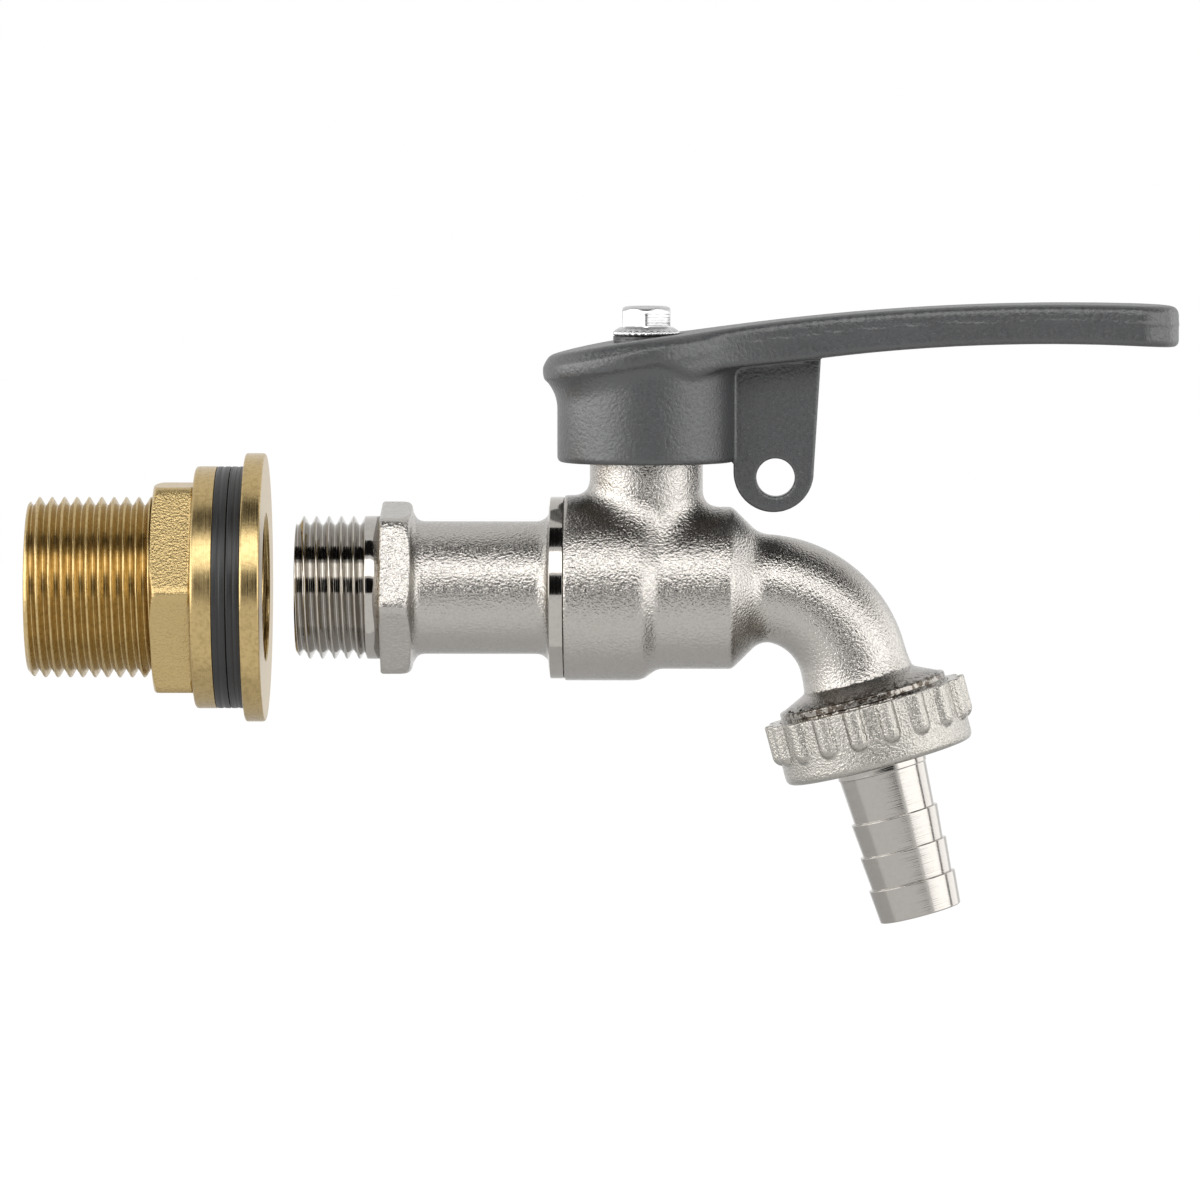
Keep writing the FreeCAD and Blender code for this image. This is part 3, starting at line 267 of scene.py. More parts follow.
class Nodes:
    """A material's node tree, with short calls for the nodes that these finishes need."""

    def __init__(self, name, color, metallic, roughness):
        self.material = bpy.data.materials.new(name)
        self.material.use_nodes = True
        self.tree = self.material.node_tree
        self.shader = self.tree.nodes["Principled BSDF"]
        self.shader.inputs["Base Color"].default_value = (*color, 1)
        self.shader.inputs["Metallic"].default_value = metallic
        self.shader.inputs["Roughness"].default_value = roughness
        self.place = self.add("ShaderNodeTexCoord").outputs["Object"]

    def add(self, kind, **settings):
        node = self.tree.nodes.new(kind)
        for key, value in settings.items():
            setattr(node, key, value)
        return node

    def link(self, source, target):
        if isinstance(source, (int, float, tuple)):
            target.default_value = source
        else:
            self.tree.links.new(source, target)

    def math(self, operation, first, second):
        node = self.add("ShaderNodeMath", operation=operation)
        self.link(first, node.inputs[0])
        self.link(second, node.inputs[1])
        return node.outputs[0]

    def noise(self, scale, detail=2.0, roughness=0.5):
        node = self.add("ShaderNodeTexNoise")
        self.link(self.place, node.inputs["Vector"])
        node.inputs["Scale"].default_value = scale
        node.inputs["Detail"].default_value = detail
        node.inputs["Roughness"].default_value = roughness
        return node.outputs["Fac"]

    def ramp(self, source, low, high, low_value, high_value):
        node = self.add("ShaderNodeMapRange", interpolation_type="SMOOTHSTEP")
        self.link(source, node.inputs["Value"])
        values = {"From Min": low, "From Max": high, "To Min": low_value, "To Max": high_value}
        for key, value in values.items():
            node.inputs[key].default_value = value
        return node.outputs["Result"]

    def mix(self, part, first, second):
        node = self.add("ShaderNodeMix", data_type="RGBA")
        self.link(part, node.inputs["Factor"])
        self.link((*first, 1) if isinstance(first, tuple) else first, node.inputs["A"])
        self.link((*second, 1) if isinstance(second, tuple) else second, node.inputs["B"])
        return node.outputs["Result"]

    def distance_along(self, way, start=(0, 0, 0)):
        """Distance along a direction, in metres, from a place given in millimetres."""
        node = self.add("ShaderNodeVectorMath", operation="DOT_PRODUCT")
        self.link(self.place, node.inputs[0])
        node.inputs[1].default_value = tuple(way)
        return self.math("SUBTRACT", node.outputs["Value"], float(np.dot(way, start)) / 1000)

    def along(self, way, frequency):
        """The lines that a tool leaves round a turned piece, which change along its axis only."""
        line = self.add("ShaderNodeTexNoise", noise_dimensions="1D")
        self.link(self.distance_along(way), line.inputs["W"])
        line.inputs["Scale"].default_value = frequency
        line.inputs["Detail"].default_value = 2.0
        return line.outputs["Fac"]

    def bump(self, height, distance, before=None):
        node = self.add("ShaderNodeBump")
        node.inputs["Strength"].default_value = 1.0
        node.inputs["Distance"].default_value = distance
        self.link(height, node.inputs["Height"])
        if before is not None:
            self.link(before, node.inputs["Normal"])
        return node.outputs["Normal"]

    def finish(self, color=None, roughness=None, normal=None):
        for key, value in (("Base Color", color), ("Roughness", roughness), ("Normal", normal)):
            if value is not None:
                self.link(value, self.shader.inputs[key])
        return self.material


def blasted_metal(name, color, grain, depth, roughness, rim_shade_and_chips=False):
    """Shot-blasted plate: fine pits that sparkle, with painted shade that makes them darker where they
    are deep.

    With the rim option it also gets painted shade, darker towards the outlet's rim where the flare meets
    the union nut, and chipped plating there as dark specks."""
    nodes = Nodes(name, color, 1.0, roughness)
    pits = nodes.noise(grain, 2.0, 0.6)
    # Painted shade: the deep pits of the blasting are a tenth darker.
    pit_shade_color = tuple(value * 0.9 for value in color)
    tint = nodes.mix(nodes.ramp(pits, 0.34, 0.6, 0, 1), pit_shade_color, color)
    if rim_shade_and_chips:
        # Painted shade: up to 0.4 of the way to the dark colour towards the rim, where the flare meets
        # the union nut. The specks are chipped plating.
        run = nodes.distance_along(OUTLET_WAY, OUTLET)
        shade = nodes.math("MULTIPLY", nodes.ramp(run, -0.001, 0.0018, 0, 1), 0.4)
        chips = nodes.ramp(nodes.noise(1100, 3.0, 0.65), 0.44, 0.54, 0, 1)
        specks = nodes.math("MULTIPLY", nodes.ramp(run, 0.0004, 0.0015, 0, 1), chips)
        tint = nodes.mix(nodes.math("MAXIMUM", shade, specks), tint, RIM_SHADE_AND_CHIP_COLOR)
    return nodes.finish(tint, roughness, nodes.bump(pits, depth))


def turned_metal(name, color, dark, way, lines, depth, roughness, speckle=0.0):
    """Turned metal: fine rings round its axis, with a little wear."""
    nodes = Nodes(name, color, 1.0, roughness)
    rings = nodes.along(way, lines)
    wear = nodes.noise(1500, 3.0, 0.6)
    tint = nodes.mix(nodes.ramp(wear, 0.3, 0.6, 0.0, 1.0), dark, color)
    lined = nodes.ramp(rings, 0.3, 0.7, roughness - 0.05, roughness + 0.05)
    rough = nodes.math("ADD", lined, nodes.math("MULTIPLY", wear, 0.04))
    normal = nodes.bump(rings, depth)
    if speckle:
        normal = nodes.bump(nodes.noise(2600, 2.0), speckle, before=normal)
    return nodes.finish(tint, rough, normal)


def painted(name, color):
    """Powder coat on a casting: orange peel, with pin-point variation and lighter worn flecks."""
    nodes = Nodes(name, color, 0.0, 0.42)
    nodes.shader.inputs["Specular IOR Level"].default_value = 1.0
    peel = nodes.noise(2000, 2.0, 0.5)
    fine = nodes.noise(5200, 2.0, 0.5)
    broad = nodes.noise(60, 3.0, 0.55)
    light = tuple(min(1, value * 1.12) for value in color)
    dark = tuple(value * 0.9 for value in color)
    tint = nodes.mix(nodes.ramp(broad, 0.3, 0.7, 0, 1), dark, light)
    tint = nodes.mix(nodes.ramp(fine, 0.6, 0.78, 0, 0.3), tint, tuple(value * 2.0 for value in color))
    rough = nodes.ramp(peel, 0.3, 0.7, 0.35, 0.45)
    return nodes.finish(tint, rough, nodes.bump(fine, 0.00001, before=nodes.bump(peel, 0.0001)))


def rubber(name, color, way):
    """Moulded rubber with fine lines round it and a dusty bloom."""
    nodes = Nodes(name, color, 0.0, 0.45)
    lines = nodes.along(way, 3800)
    dust = nodes.noise(1400, 4.0, 0.65)
    tint = nodes.mix(nodes.ramp(dust, 0.5, 0.8, 0, 0.5), color, tuple(value * 2.2 for value in color))
    rough = nodes.ramp(lines, 0.3, 0.7, 0.34, 0.5)
    return nodes.finish(tint, rough, nodes.bump(lines, 0.00006))


def plastic(name, color):
    """Pale sealing plastic with a faint grain."""
    nodes = Nodes(name, color, 0.0, 0.5)
    grain = nodes.noise(1800, 3.0)
    tint = nodes.mix(nodes.ramp(grain, 0.3, 0.7, 0, 1), tuple(value * 0.93 for value in color), color)
    return nodes.finish(tint, nodes.ramp(grain, 0.3, 0.7, 0.45, 0.58), nodes.bump(grain, 0.00001))


NICKEL = (0.43, 0.41, 0.382)
NICKEL_DARK = (0.40, 0.378, 0.35)
NICKEL_BRIGHT = (0.43, 0.41, 0.38)
NUT_NICKEL = (0.41, 0.393, 0.36)
TAIL_NICKEL = (0.40, 0.381, 0.355)
TAIL_DARK = (0.385, 0.366, 0.341)
# The dark colour of the painted shade and of the chipped plating at the outlet's rim.
RIM_SHADE_AND_CHIP_COLOR = (0.09, 0.075, 0.06)
BRASS = (0.50, 0.37, 0.172)
BRASS_DARK = (0.40, 0.292, 0.13)
CHROME = (0.7, 0.7, 0.71)
CHROME_DARK = (0.6, 0.6, 0.61)
ZINC = (0.56, 0.56, 0.56)
ZINC_DARK = (0.46, 0.46, 0.46)
STEEL = (0.09, 0.09, 0.09)
STEEL_DARK = (0.05, 0.05, 0.05)
PAINT = (0.03, 0.031, 0.033)
GASKET_BLACK = (0.012, 0.012, 0.0125)
RING_BLACK = (0.012, 0.012, 0.012)
SEAT_WHITE = (0.82, 0.82, 0.8)

# Metal finishes: colours, direction of the tool's lines, their number to a metre, depths in metres
# and roughness.
cast_nickel = blasted_metal("blasted_nickel", NICKEL, 2700, 0.00014, 0.155)
body_nickel = blasted_metal("body_nickel", NICKEL, 2700, 0.00014, 0.155, rim_shade_and_chips=True)
nut_nickel = blasted_metal("nut_nickel", NUT_NICKEL, 2800, 0.00018, 0.2)
bright_nickel = turned_metal("bright_nickel", NICKEL_BRIGHT, NICKEL_DARK, ALONG_X, 5000, 0.000002, 0.07)
rim_nickel = blasted_metal("rim_nickel", NICKEL_BRIGHT, 2000, 0.0001, 0.16, rim_shade_and_chips=True)
thread_nickel = turned_metal("thread_nickel", NICKEL, NICKEL_DARK, OUTLET_WAY, 5000, 0.000004, 0.15)
tail_nickel = turned_metal("tail_nickel", TAIL_NICKEL, TAIL_DARK, OUTLET_WAY, 6500, 0.000013, 0.13)
thread_brass = turned_metal("thread_brass", BRASS, BRASS_DARK, ALONG_X, 5200, 0.00002, 0.25, 0.00001)
turned_brass = turned_metal("turned_brass", BRASS, BRASS_DARK, ALONG_X, 6000, 0.00003, 0.27)
cast_brass = blasted_metal("cast_brass", BRASS, 3000, 0.00012, 0.3)
stem_brass = turned_metal("stem_brass", BRASS, BRASS_DARK, UP, 5200, 0.00002, 0.28)
ball_chrome = turned_metal("ball_chrome", CHROME, CHROME_DARK, ALONG_X, 3000, 0.000001, 0.08)
bolt_zinc = turned_metal("bolt_zinc", ZINC, ZINC_DARK, UP, 4200, 0.00002, 0.26, 0.00002)
washer_steel = turned_metal("washer_steel", STEEL, STEEL_DARK, UP, 4200, 0.00004, 0.4)
lever_paint = painted("lever_paint", PAINT)
gasket_rubber = rubber("gasket_rubber", GASKET_BLACK, ALONG_X)
ring_rubber = rubber("ring_rubber", RING_BLACK, UP)
seat_plastic = plastic("seat_plastic", SEAT_WHITE)


# Inlet piece: thread, hexagon, tube and collar.

INLET = (ORIGIN, ALONG_X, TO_VIEWER)
INLET_ROLE = ("valve_body", "adapter_nickel", ("inlet_adapter",))
THREAD_CREST = 10.478
THREAD_DEPTH = 1.28
LAND_START = -2.0
LAND_END = 0.3
TIP = -12.45
BORE = 6.6


def inlet_thread_shape(angle, along, radius):
    """The thread outside the sleeve, with a chamfered start and its run-out at the land."""
    on_thread = (radius > THREAD_CREST - 0.01) & (along < LAND_START)
    form = thread_form(along, angle, THREAD_CREST, THREAD_DEPTH)
    run_out = np.clip((along - LAND_START + 0.55) / 0.5, 0, 1)
    form = form + (THREAD_CREST - form) * run_out
    chamfer = THREAD_CREST - 0.95 + (along - TIP) * 1.15
    form = np.minimum(form, np.maximum(chamfer, THREAD_CREST - THREAD_DEPTH))
    return np.where(on_thread, form, radius)


thread_line = [(along, THREAD_CREST) for along in np.arange(TIP + 0.02, LAND_START, 0.09)]
sleeve = [(TIP, BORE + 0.5), (TIP, THREAD_CREST - 1.3)] + thread_line
sleeve += [(LAND_START, THREAD_CREST - 0.03), (LAND_START + 0.1, THREAD_CREST)]
sleeve += [(LAND_END, THREAD_CREST), (LAND_END, BORE), (TIP + 0.5, BORE)]
turned("inlet_thread", sleeve, INLET, bright_nickel, *INLET_ROLE, 256, inlet_thread_shape)

HEX_FLATS = 23.3
HEX_CORNER = math.radians(69.6)
HEX_LIMIT = 13.45
TUBE_RADIUS = 9.7
FORGING_BORE = 9.0
COLLAR_START = 24.7
COLLAR_END = 26.66
COLLAR_RADIUS = 13.3


def forging_shape(angle, along, radius):
    """The hexagon between the land and the tube; the profile is its outer limit."""
    hex_radius = hexagon(angle, HEX_FLATS, HEX_CORNER, 0.25)
    edge = np.interp(along, [0.0, 0.25], [0.22, 0.0])
    limited = soft_min(radius, hex_radius - edge, 0.5)
    return np.where((along < 5.6) & (radius > 10.6), limited, radius)


forging = [(0.0, 10.3), (0.0, 11.2)]
forging += [(along, HEX_LIMIT) for along in (0.0, 0.12, 0.3, 0.8, 1.6)] + [(2.3, 13.42)]
for turn in np.radians([10, 25, 40, 55, 68, 80]):
    forging.append((2.6 + 1.9 * math.sin(turn), 11.55 + 1.85 * math.cos(turn)))
forging += [(4.62, 11.1), (4.8, 10.72), (5.02, 10.35), (5.3, 10.02), (5.7, 9.8), (6.2, 9.71)]
forging += [(along, TUBE_RADIUS) for along in (7.0, 9.0, 12.0, 15.0, 18.0, 21.0)]
for turn in np.radians([0, 12, 25, 38, 50, 60]):
    forging.append((22.6 + 2.1 * math.sin(turn), 11.8 - 2.1 * math.cos(turn)))
forging += [(24.5, 11.9), (24.62, 12.5), (24.68, 13.0), (COLLAR_START, 13.1)]
forging += [(along, FORGING_BORE) for along in (COLLAR_START, 12.0, 0.0)]
forging = filled(np.array(forging), 0.9)
turned("inlet_forging", forging, INLET, cast_nickel, *INLET_ROLE, 360, forging_shape)

collar = soft_corners([
    (COLLAR_START - 0.02, 9.5, 0), (COLLAR_START - 0.02, COLLAR_RADIUS, 0.12),
    (COLLAR_END, COLLAR_RADIUS, 0.1), (COLLAR_END, 9.5, 0),
])
turned("inlet_collar", collar, INLET, bright_nickel, *INLET_ROLE, 256)
bore = soft_corners([
    (0.2, BORE, 0), (0.2, BORE + 0.4, 0), (31.1, BORE + 0.4, 0),
    (31.1, 5.2, 0), (25.16, 5.2, 0.2), (23.76, BORE, 0.2),
])
turned("inlet_bore", bore, INLET, bright_nickel, *INLET_ROLE, 96)

# Body casting and the outlet under the union nut.

BODY_ROLE = ("valve_body", "body_nickel", ("valve_body",))
BARREL = np.array([
    [20, 13.55], [37.2, 13.55], [38.3, 13.3], [39.95, 12.1], [40.7, 11.85],
    [51.2, 11.85], [55.2, 7.9], [56.4, 7.0], [60, 7.0],
])
BARREL_START, BARREL_END = 26.7, 57.5
NECK_RADIUS, NECK_TOP = 8.25, 24.4
STOP_RADIUS, STOP_MIDDLE = 10.25, 21.45
FLARE_ALONG = [-9, -3, -0.2, 1.9, 4]
FLARE_RADIUS = [2.5, 6.6, 7.9, 12.35, 12.35]
barrel_along = np.linspace(20, 60, 801)
barrel_smooth = blurred(np.interp(barrel_along, BARREL[:, 0], BARREL[:, 1]), 2, 0.3)
barrel_slope = np.gradient(barrel_smooth, barrel_along)


def spout_distance(x, y, z, radius):
    """Distance from the bent tube: straight out of the barrel, round the bend and on to the outlet."""
    angle = np.arctan2(x - BEND_X, z + BEND_RADIUS)
    held = np.clip(angle, 0, TURN)
    near_x = BEND_X + BEND_RADIUS * np.sin(held)
    near_z = -BEND_RADIUS + BEND_RADIUS * np.cos(held)
    arc = np.hypot(x - near_x, z - near_z)
    before = np.hypot(x - np.clip(x, 44, BEND_X), z)
    end_x = BEND_X + BEND_RADIUS * math.sin(TURN)
    end_z = -BEND_RADIUS + BEND_RADIUS * math.cos(TURN)
    run = np.clip((x - end_x) * OUTLET_WAY[0] + (z - end_z) * OUTLET_WAY[2], 0, 6)
    after = np.hypot(x - end_x - run * OUTLET_WAY[0], z - end_z - run * OUTLET_WAY[2])
    flat = np.minimum(np.minimum(arc, before), after)
    return np.hypot(flat, y) - radius


def body_field(x, y, z):
    """The valve body's outside: barrel, stem neck, spout and the flare over the hose union."""
    steep = np.hypot(1, np.interp(x, barrel_along, barrel_slope))
    barrel = (np.hypot(y, z) - np.interp(x, barrel_along, barrel_smooth)) / steep
    barrel = soft_max(soft_max(barrel, BARREL_START - x, 0.5), x - BARREL_END, 0.5)
    from_stem = np.hypot(x - STEM_X, y)
    neck = soft_max(from_stem - NECK_RADIUS, np.maximum(z - NECK_TOP, -z), 0.4)
    body = soft_min(barrel, neck, 2.6)
    collar = soft_max(from_stem - STOP_RADIUS, np.abs(z - STOP_MIDDLE) - 1.0, 0.3)
    gap = np.maximum(0.58 * np.abs(x - STEM_X) * 1.22 - y, NECK_RADIUS + 0.05 - from_stem)
    body = np.minimum(body, np.maximum(collar, -gap))
    spout = spout_distance(x, y, z, SPOUT_RADIUS)
    body = soft_min(body, spout, 1.1)
    run = (x - OUTLET[0]) * OUTLET_WAY[0] + (z - OUTLET[2]) * OUTLET_WAY[2]
    off_x = x - OUTLET[0] - run * OUTLET_WAY[0]
    off_z = z - OUTLET[2] - run * OUTLET_WAY[2]
    off = np.hypot(np.hypot(off_x, off_z), y)
    flare = (off - np.interp(run, FLARE_ALONG, FLARE_RADIUS)) * 0.62
    flare = soft_max(np.maximum(flare, -9.0 - run), run - 2.0, 0.35)
    body = soft_min(body, flare, 1.0)
    return np.maximum(body, run - 2.05)


CELL = 0.4
points, faces, normals = cast_mesh(body_field, (26.0, -14.3, -25.0), (84.0, 14.3, 25.2), CELL)
add_mesh("body_casting", points, faces, body_nickel, *BODY_ROLE, normals)

SPOUT = (OUTLET, OUTLET_WAY, TO_VIEWER)
RIM_END = 3.5
OUTLET_CREST = 12.6
OUTLET_DEPTH = 1.1
OUTLET_END = 7.5
OUTLET_BORE = 5.2


def outlet_thread_shape(angle, along, radius):
    """The thread that the union nut runs on, with its chamfered start."""
    form = thread_form(along, angle, OUTLET_CREST, OUTLET_DEPTH)
    chamfer = OUTLET_CREST - 0.9 + (OUTLET_END - along) * 1.1
    form = np.minimum(form, np.maximum(chamfer, OUTLET_CREST - OUTLET_DEPTH))
    return np.where(radius > OUTLET_CREST - 0.005, form, radius)


rim = soft_corners([
    (1.7, 9.0, 0), (1.7, 12.2, 0.05), (1.92, 12.4, 0.08), (2.7, 12.4, 0.1),
    (2.7, 12.59, 0), (RIM_END, 12.59, 0.1), (RIM_END, 9.0, 0),
])
turned("outlet_rim", rim, SPOUT, rim_nickel, *BODY_ROLE, 192)
outlet_line = [(RIM_END, OUTLET_BORE), (RIM_END, 11.4)]
outlet_line += [(along, OUTLET_CREST) for along in np.arange(3.52, OUTLET_END, 0.075)]
outlet_line += [(OUTLET_END, 11.4), (OUTLET_END, OUTLET_BORE)]
turned("outlet_thread", outlet_line, SPOUT, thread_nickel, *BODY_ROLE, 256, outlet_thread_shape)

# Lever.


def arc_points(start, end, radius, turn, count):
    """Points from start to just before end on an arc; turn is 1 to the left and -1 to the right."""
    start, end = np.array(start, float), np.array(end, float)
    half = (end - start) / 2
    length = np.linalg.norm(half)
    side = np.array([-half[1], half[0]]) / length * turn
    centre = start + half + side * math.sqrt(radius**2 - length**2)
    first = math.atan2(*(start - centre)[::-1])
    last = math.atan2(*(end - centre)[::-1])
    while (last - first) * turn < 0:
        last += 2 * math.pi * turn
    angles = np.linspace(first, last, count, endpoint=False)
    return centre + radius * np.stack([np.cos(angles), np.sin(angles)], axis=1)


def nearer(point):
    """The same point on the viewer's side of the lever."""
    return (point[0], -point[1])


# The outline from above, from the stem's axis: the head, the waist, the arm's end and its corner.
HEAD_SHIFT, HEAD_RADIUS = 0.8, 13.88
HEAD_TURN = math.radians(60)
HEAD_SIDE = (HEAD_RADIUS * math.cos(HEAD_TURN) - HEAD_SHIFT, HEAD_RADIUS * math.sin(HEAD_TURN))
HEAD_BACK = (-HEAD_SHIFT - HEAD_RADIUS, 0)
WAIST, WAIST_RADIUS = (19.4, 7.45), 31.3
ARM_END, ARM_RADIUS = (71.9, 8.28), 386.0
ARM_CORNER, CORNER_RADIUS = (76.92, 4.1), 6.0
outline = np.concatenate([
    arc_points(nearer(HEAD_SIDE), nearer(WAIST), WAIST_RADIUS, -1, 12),
    arc_points(nearer(WAIST), nearer(ARM_END), ARM_RADIUS, -1, 10),
    arc_points(nearer(ARM_END), nearer(ARM_CORNER), CORNER_RADIUS, 1, 8),
    arc_points(nearer(ARM_CORNER), ARM_CORNER, 12.36, 1, 8),
    arc_points(ARM_CORNER, ARM_END, CORNER_RADIUS, 1, 8),
    arc_points(ARM_END, WAIST, ARM_RADIUS, -1, 10),
    arc_points(WAIST, HEAD_SIDE, WAIST_RADIUS, -1, 12),
    arc_points(HEAD_SIDE, HEAD_BACK, HEAD_RADIUS, 1, 24),
    arc_points(HEAD_BACK, nearer(HEAD_SIDE), HEAD_RADIUS, 1, 24),
])


def plan_distance(x, y):
    """Signed distance from the lever's outline seen from above."""
    nearest = np.full(np.broadcast(x, y).shape, 1e9)
    odd = np.zeros(nearest.shape, bool)
    for one, two in zip(outline, np.roll(outline, -1, axis=0)):
        run = two - one
        part = np.clip(((x - one[0]) * run[0] + (y - one[1]) * run[1]) / (run @ run), 0, 1)
        gap = (x - one[0] - part * run[0]) ** 2 + (y - one[1] - part * run[1]) ** 2
        nearest = np.minimum(nearest, gap)
        if one[1] != two[1]:
            spans = (one[1] > y) != (two[1] > y)
            odd ^= spans & (x < one[0] + (y - one[1]) * run[0] / run[1])
    return np.where(odd, -1, 1) * np.sqrt(nearest)


# The lever's side view, from the stem's axis and the shoulder that the cup stands over.
HEAD_TOP_START, ARM_TOP_START, ARM_TOP_END = (-14.7, 4.9), (5.3, 8.18), (77.7, 12.2)
ARM_LOW_START, ARM_LOW_END = (22.0, 4.3), (77.7, 6.2)
head_top = arc_points(HEAD_TOP_START, ARM_TOP_START, 150.0, -1, 40)
arm_top = arc_points(ARM_TOP_START, ARM_TOP_END, 353.0, -1, 40)
top_line = np.concatenate([[(-20, 4.3)], head_top, arm_top, [ARM_TOP_END, (82, 12.0)]])
top_along = np.linspace(-20, 82, 1021)
top_height = blurred(np.interp(top_along, top_line[:, 0], top_line[:, 1]), 4, 1.4)
arm_root = [(-20, 0.0), (7.3, 2.75), (13.0, 3.4), (18.0, 3.92)]
arm_arc = arc_points(ARM_LOW_START, ARM_LOW_END, 273.0, -1, 40)
arm_low = np.concatenate([arm_root, arm_arc, [ARM_LOW_END, (82, 6.0)]])

HEAD_SLOPE = math.tan(math.radians(10))
CUP_RADIUS, CUP_DEPTH, HOLLOW_RADIUS = 13.0, 10.6, 10.8
LUG_ROUND, LUG_RADIUS, LUG_DEPTH = 18.58, 5.86, 12.0
HOLE_X, HOLE_DEPTH, HOLE_RADIUS = 18.86, 12.8, 2.8
SEAT_HEIGHT, BOSS_RADIUS, SPOT_RADIUS = 7.0, 4.85, 5.35
TAB_MIDDLE = 10.1


def lever_field(x, y, z):
    """The casting: cup, sloping head, arm, the lug for a padlock and the stop tab."""
    x = x - STEM_X
    z = z - LEVER_SEAT
    top = np.interp(x, top_along, top_height)
    low = np.interp(x, arm_low[:, 0], arm_low[:, 1])
    plate = 2.1 + (x + 14.7) * HEAD_SLOPE
    part = np.clip((7.2 - x) / 6.0, 0, 1)
    under = low + (plate - low) * part * part * (3 - 2 * part)
    middle = low + 0.56 * (top - low)
    line = 0.07 * np.exp(-(((z - middle) / 0.28) ** 2)) * np.clip((x - 8) / 8, 0, 1)
    edge = plan_distance(x, y) - line
    arm = soft_max(soft_max(edge, z - top, 1.5), (under - z) * 0.98, 1.1)
    from_stem = np.hypot(x, y)
    drop = np.maximum(plate - 0.6 - z, 0)
    flare = (np.hypot(x + HEAD_SHIFT, y) - HEAD_RADIUS + 0.58 * drop) * 0.87
    cup = soft_min(from_stem - CUP_RADIUS, flare, 0.9)
    cup = soft_max(soft_max(cup, -CUP_DEPTH - z, 0.9), z - np.minimum(plate + 1.0, SEAT_HEIGHT), 0.4)
    lever = soft_min(arm, cup, 1.6 + 0.6 * np.exp(-(((x - 2.0) / 2.8) ** 2)))
    from_round = x - LUG_ROUND
    lug = np.hypot(from_round, z + LUG_DEPTH) - LUG_RADIUS
    taper = np.clip((z + LUG_DEPTH) / 16.0, 0, 1)
    upright = np.maximum(12.0 - x, from_round - LUG_RADIUS - taper)
    upright = np.maximum(upright, np.maximum(-LUG_DEPTH - z, z - 4.5))
    upright = np.maximum(upright, -LUG_RADIUS - from_round)
    lug = soft_max(np.minimum(lug, upright), np.abs(y) - 2.0, 0.5)
    lug = soft_max(lug, HOLE_RADIUS - np.hypot(x - HOLE_X, z + HOLE_DEPTH), 0.35)
    lever = soft_min(lever, lug, 0.4)
    hollow = soft_max(from_stem - HOLLOW_RADIUS, z, 0.6)
    lever = soft_max(lever, -hollow, 0.5)
    boss = soft_max(from_stem - BOSS_RADIUS, np.maximum(z - SEAT_HEIGHT, 3.5 - z), 0.2)
    lever = soft_min(lever, boss, 0.5)
    spot = np.maximum(from_stem - SPOT_RADIUS, SEAT_HEIGHT - z)
    lever = soft_max(lever, -spot, 0.35)
    tab_x = (y - x) * math.sqrt(0.5)
    tab_y = (x + y) * math.sqrt(0.5)
    tab = np.maximum(np.abs(tab_x - TAB_MIDDLE) - 1.35, np.abs(tab_y) - 1.45)
    tab = np.maximum(tab, np.maximum(-10.0 - z, z + 6.7))
    return np.minimum(lever, tab)


points, faces, normals = cast_mesh(lever_field, (23.0, -14.9, 9.5), (117.5, 14.9, 43.0), CELL * 1.125)
add_mesh("lever_casting", points, faces, lever_paint, "lever", "lever_paint", ("lever",), normals)

# Lever bolt.

BOLT = (np.array([STEM_X, 0.0, 0.0]), UP, TO_VIEWER)
BOLT_ROLE = ("lever", "zinc_steel", ("lever_bolt",))
BOLT_FLATS = 7.0
FLANGE_TEETH = 30


def bolt_shape(angle, along, radius):
    """The hexagon above the flange, and the teeth under the flange's edge."""
    head = (along > 38.05) & (radius > 2.0)
    chamfer = soft_min(radius, hexagon(angle, BOLT_FLATS, 0.0, 0.1), 0.25)
    wave = 0.10 * np.sin(angle * FLANGE_TEETH)
    teeth = radius + wave * np.clip((38.0 - along) / 0.6, 0, 1) * (radius > 4.2)
    return np.where(head, chamfer, teeth)


bolt_line = [(36.8, 2.0), (36.8, 4.2), (36.85, 4.55), (37.0, 4.72), (37.2, 4.76)]
bolt_line += [(37.4, 4.74), (37.55, 4.62), (37.75, 4.4), (37.95, 4.12), (38.04, 4.0)]
bolt_line += [(38.12, 4.1), (38.4, 4.2), (39.2, 4.2), (40.0, 4.2), (40.25, 4.05)]
bolt_line += [(40.5, 3.88), (40.75, 3.66), (40.95, 3.4), (41.08, 3.1), (41.15, 2.85)]
bolt_line += [(41.1, 2.6), (40.95, 2.3), (40.86, 1.6), (40.84, 0.8), (40.83, 0.0), (37.0, 0.0)]
turned("flange_bolt", bolt_line, BOLT, bolt_zinc, *BOLT_ROLE, 240, bolt_shape)
screw = soft_corners([(27.0, 0.0, 0), (27.0, 1.95, 0.3), (36.85, 1.95, 0), (36.85, 0.0, 0)])
turned("bolt_shank", screw, BOLT, bolt_zinc, *BOLT_ROLE, 48)

# Hose union.

NUT_TOP, NUT_END, NUT_RADIUS = 3.05, 12.3, 14.05
NUT_OPENING = 7.1
RIBS = 18
RIB_TURN = math.radians(8.6)
RIB_SPACING = 2 * math.pi / RIBS
RIB_HEIGHT, RIB_HALF_WIDTH, RIB_END = 1.02, 1.45, 7.75


def nut_shape(angle, along, radius):
    """The grip ribs: open at the top of the nut and rounded at their lower ends."""
    place = np.mod(angle - RIB_TURN + RIB_SPACING / 2, RIB_SPACING) - RIB_SPACING / 2
    across = place * 14.6
    down = np.maximum(along - RIB_END, 0)
    off = np.hypot(across, down) / RIB_HALF_WIDTH
    rise = np.clip(1 - off * off, 0, 1) ** 0.7
    return np.where(radius > 13.2, radius + RIB_HEIGHT * rise, radius)


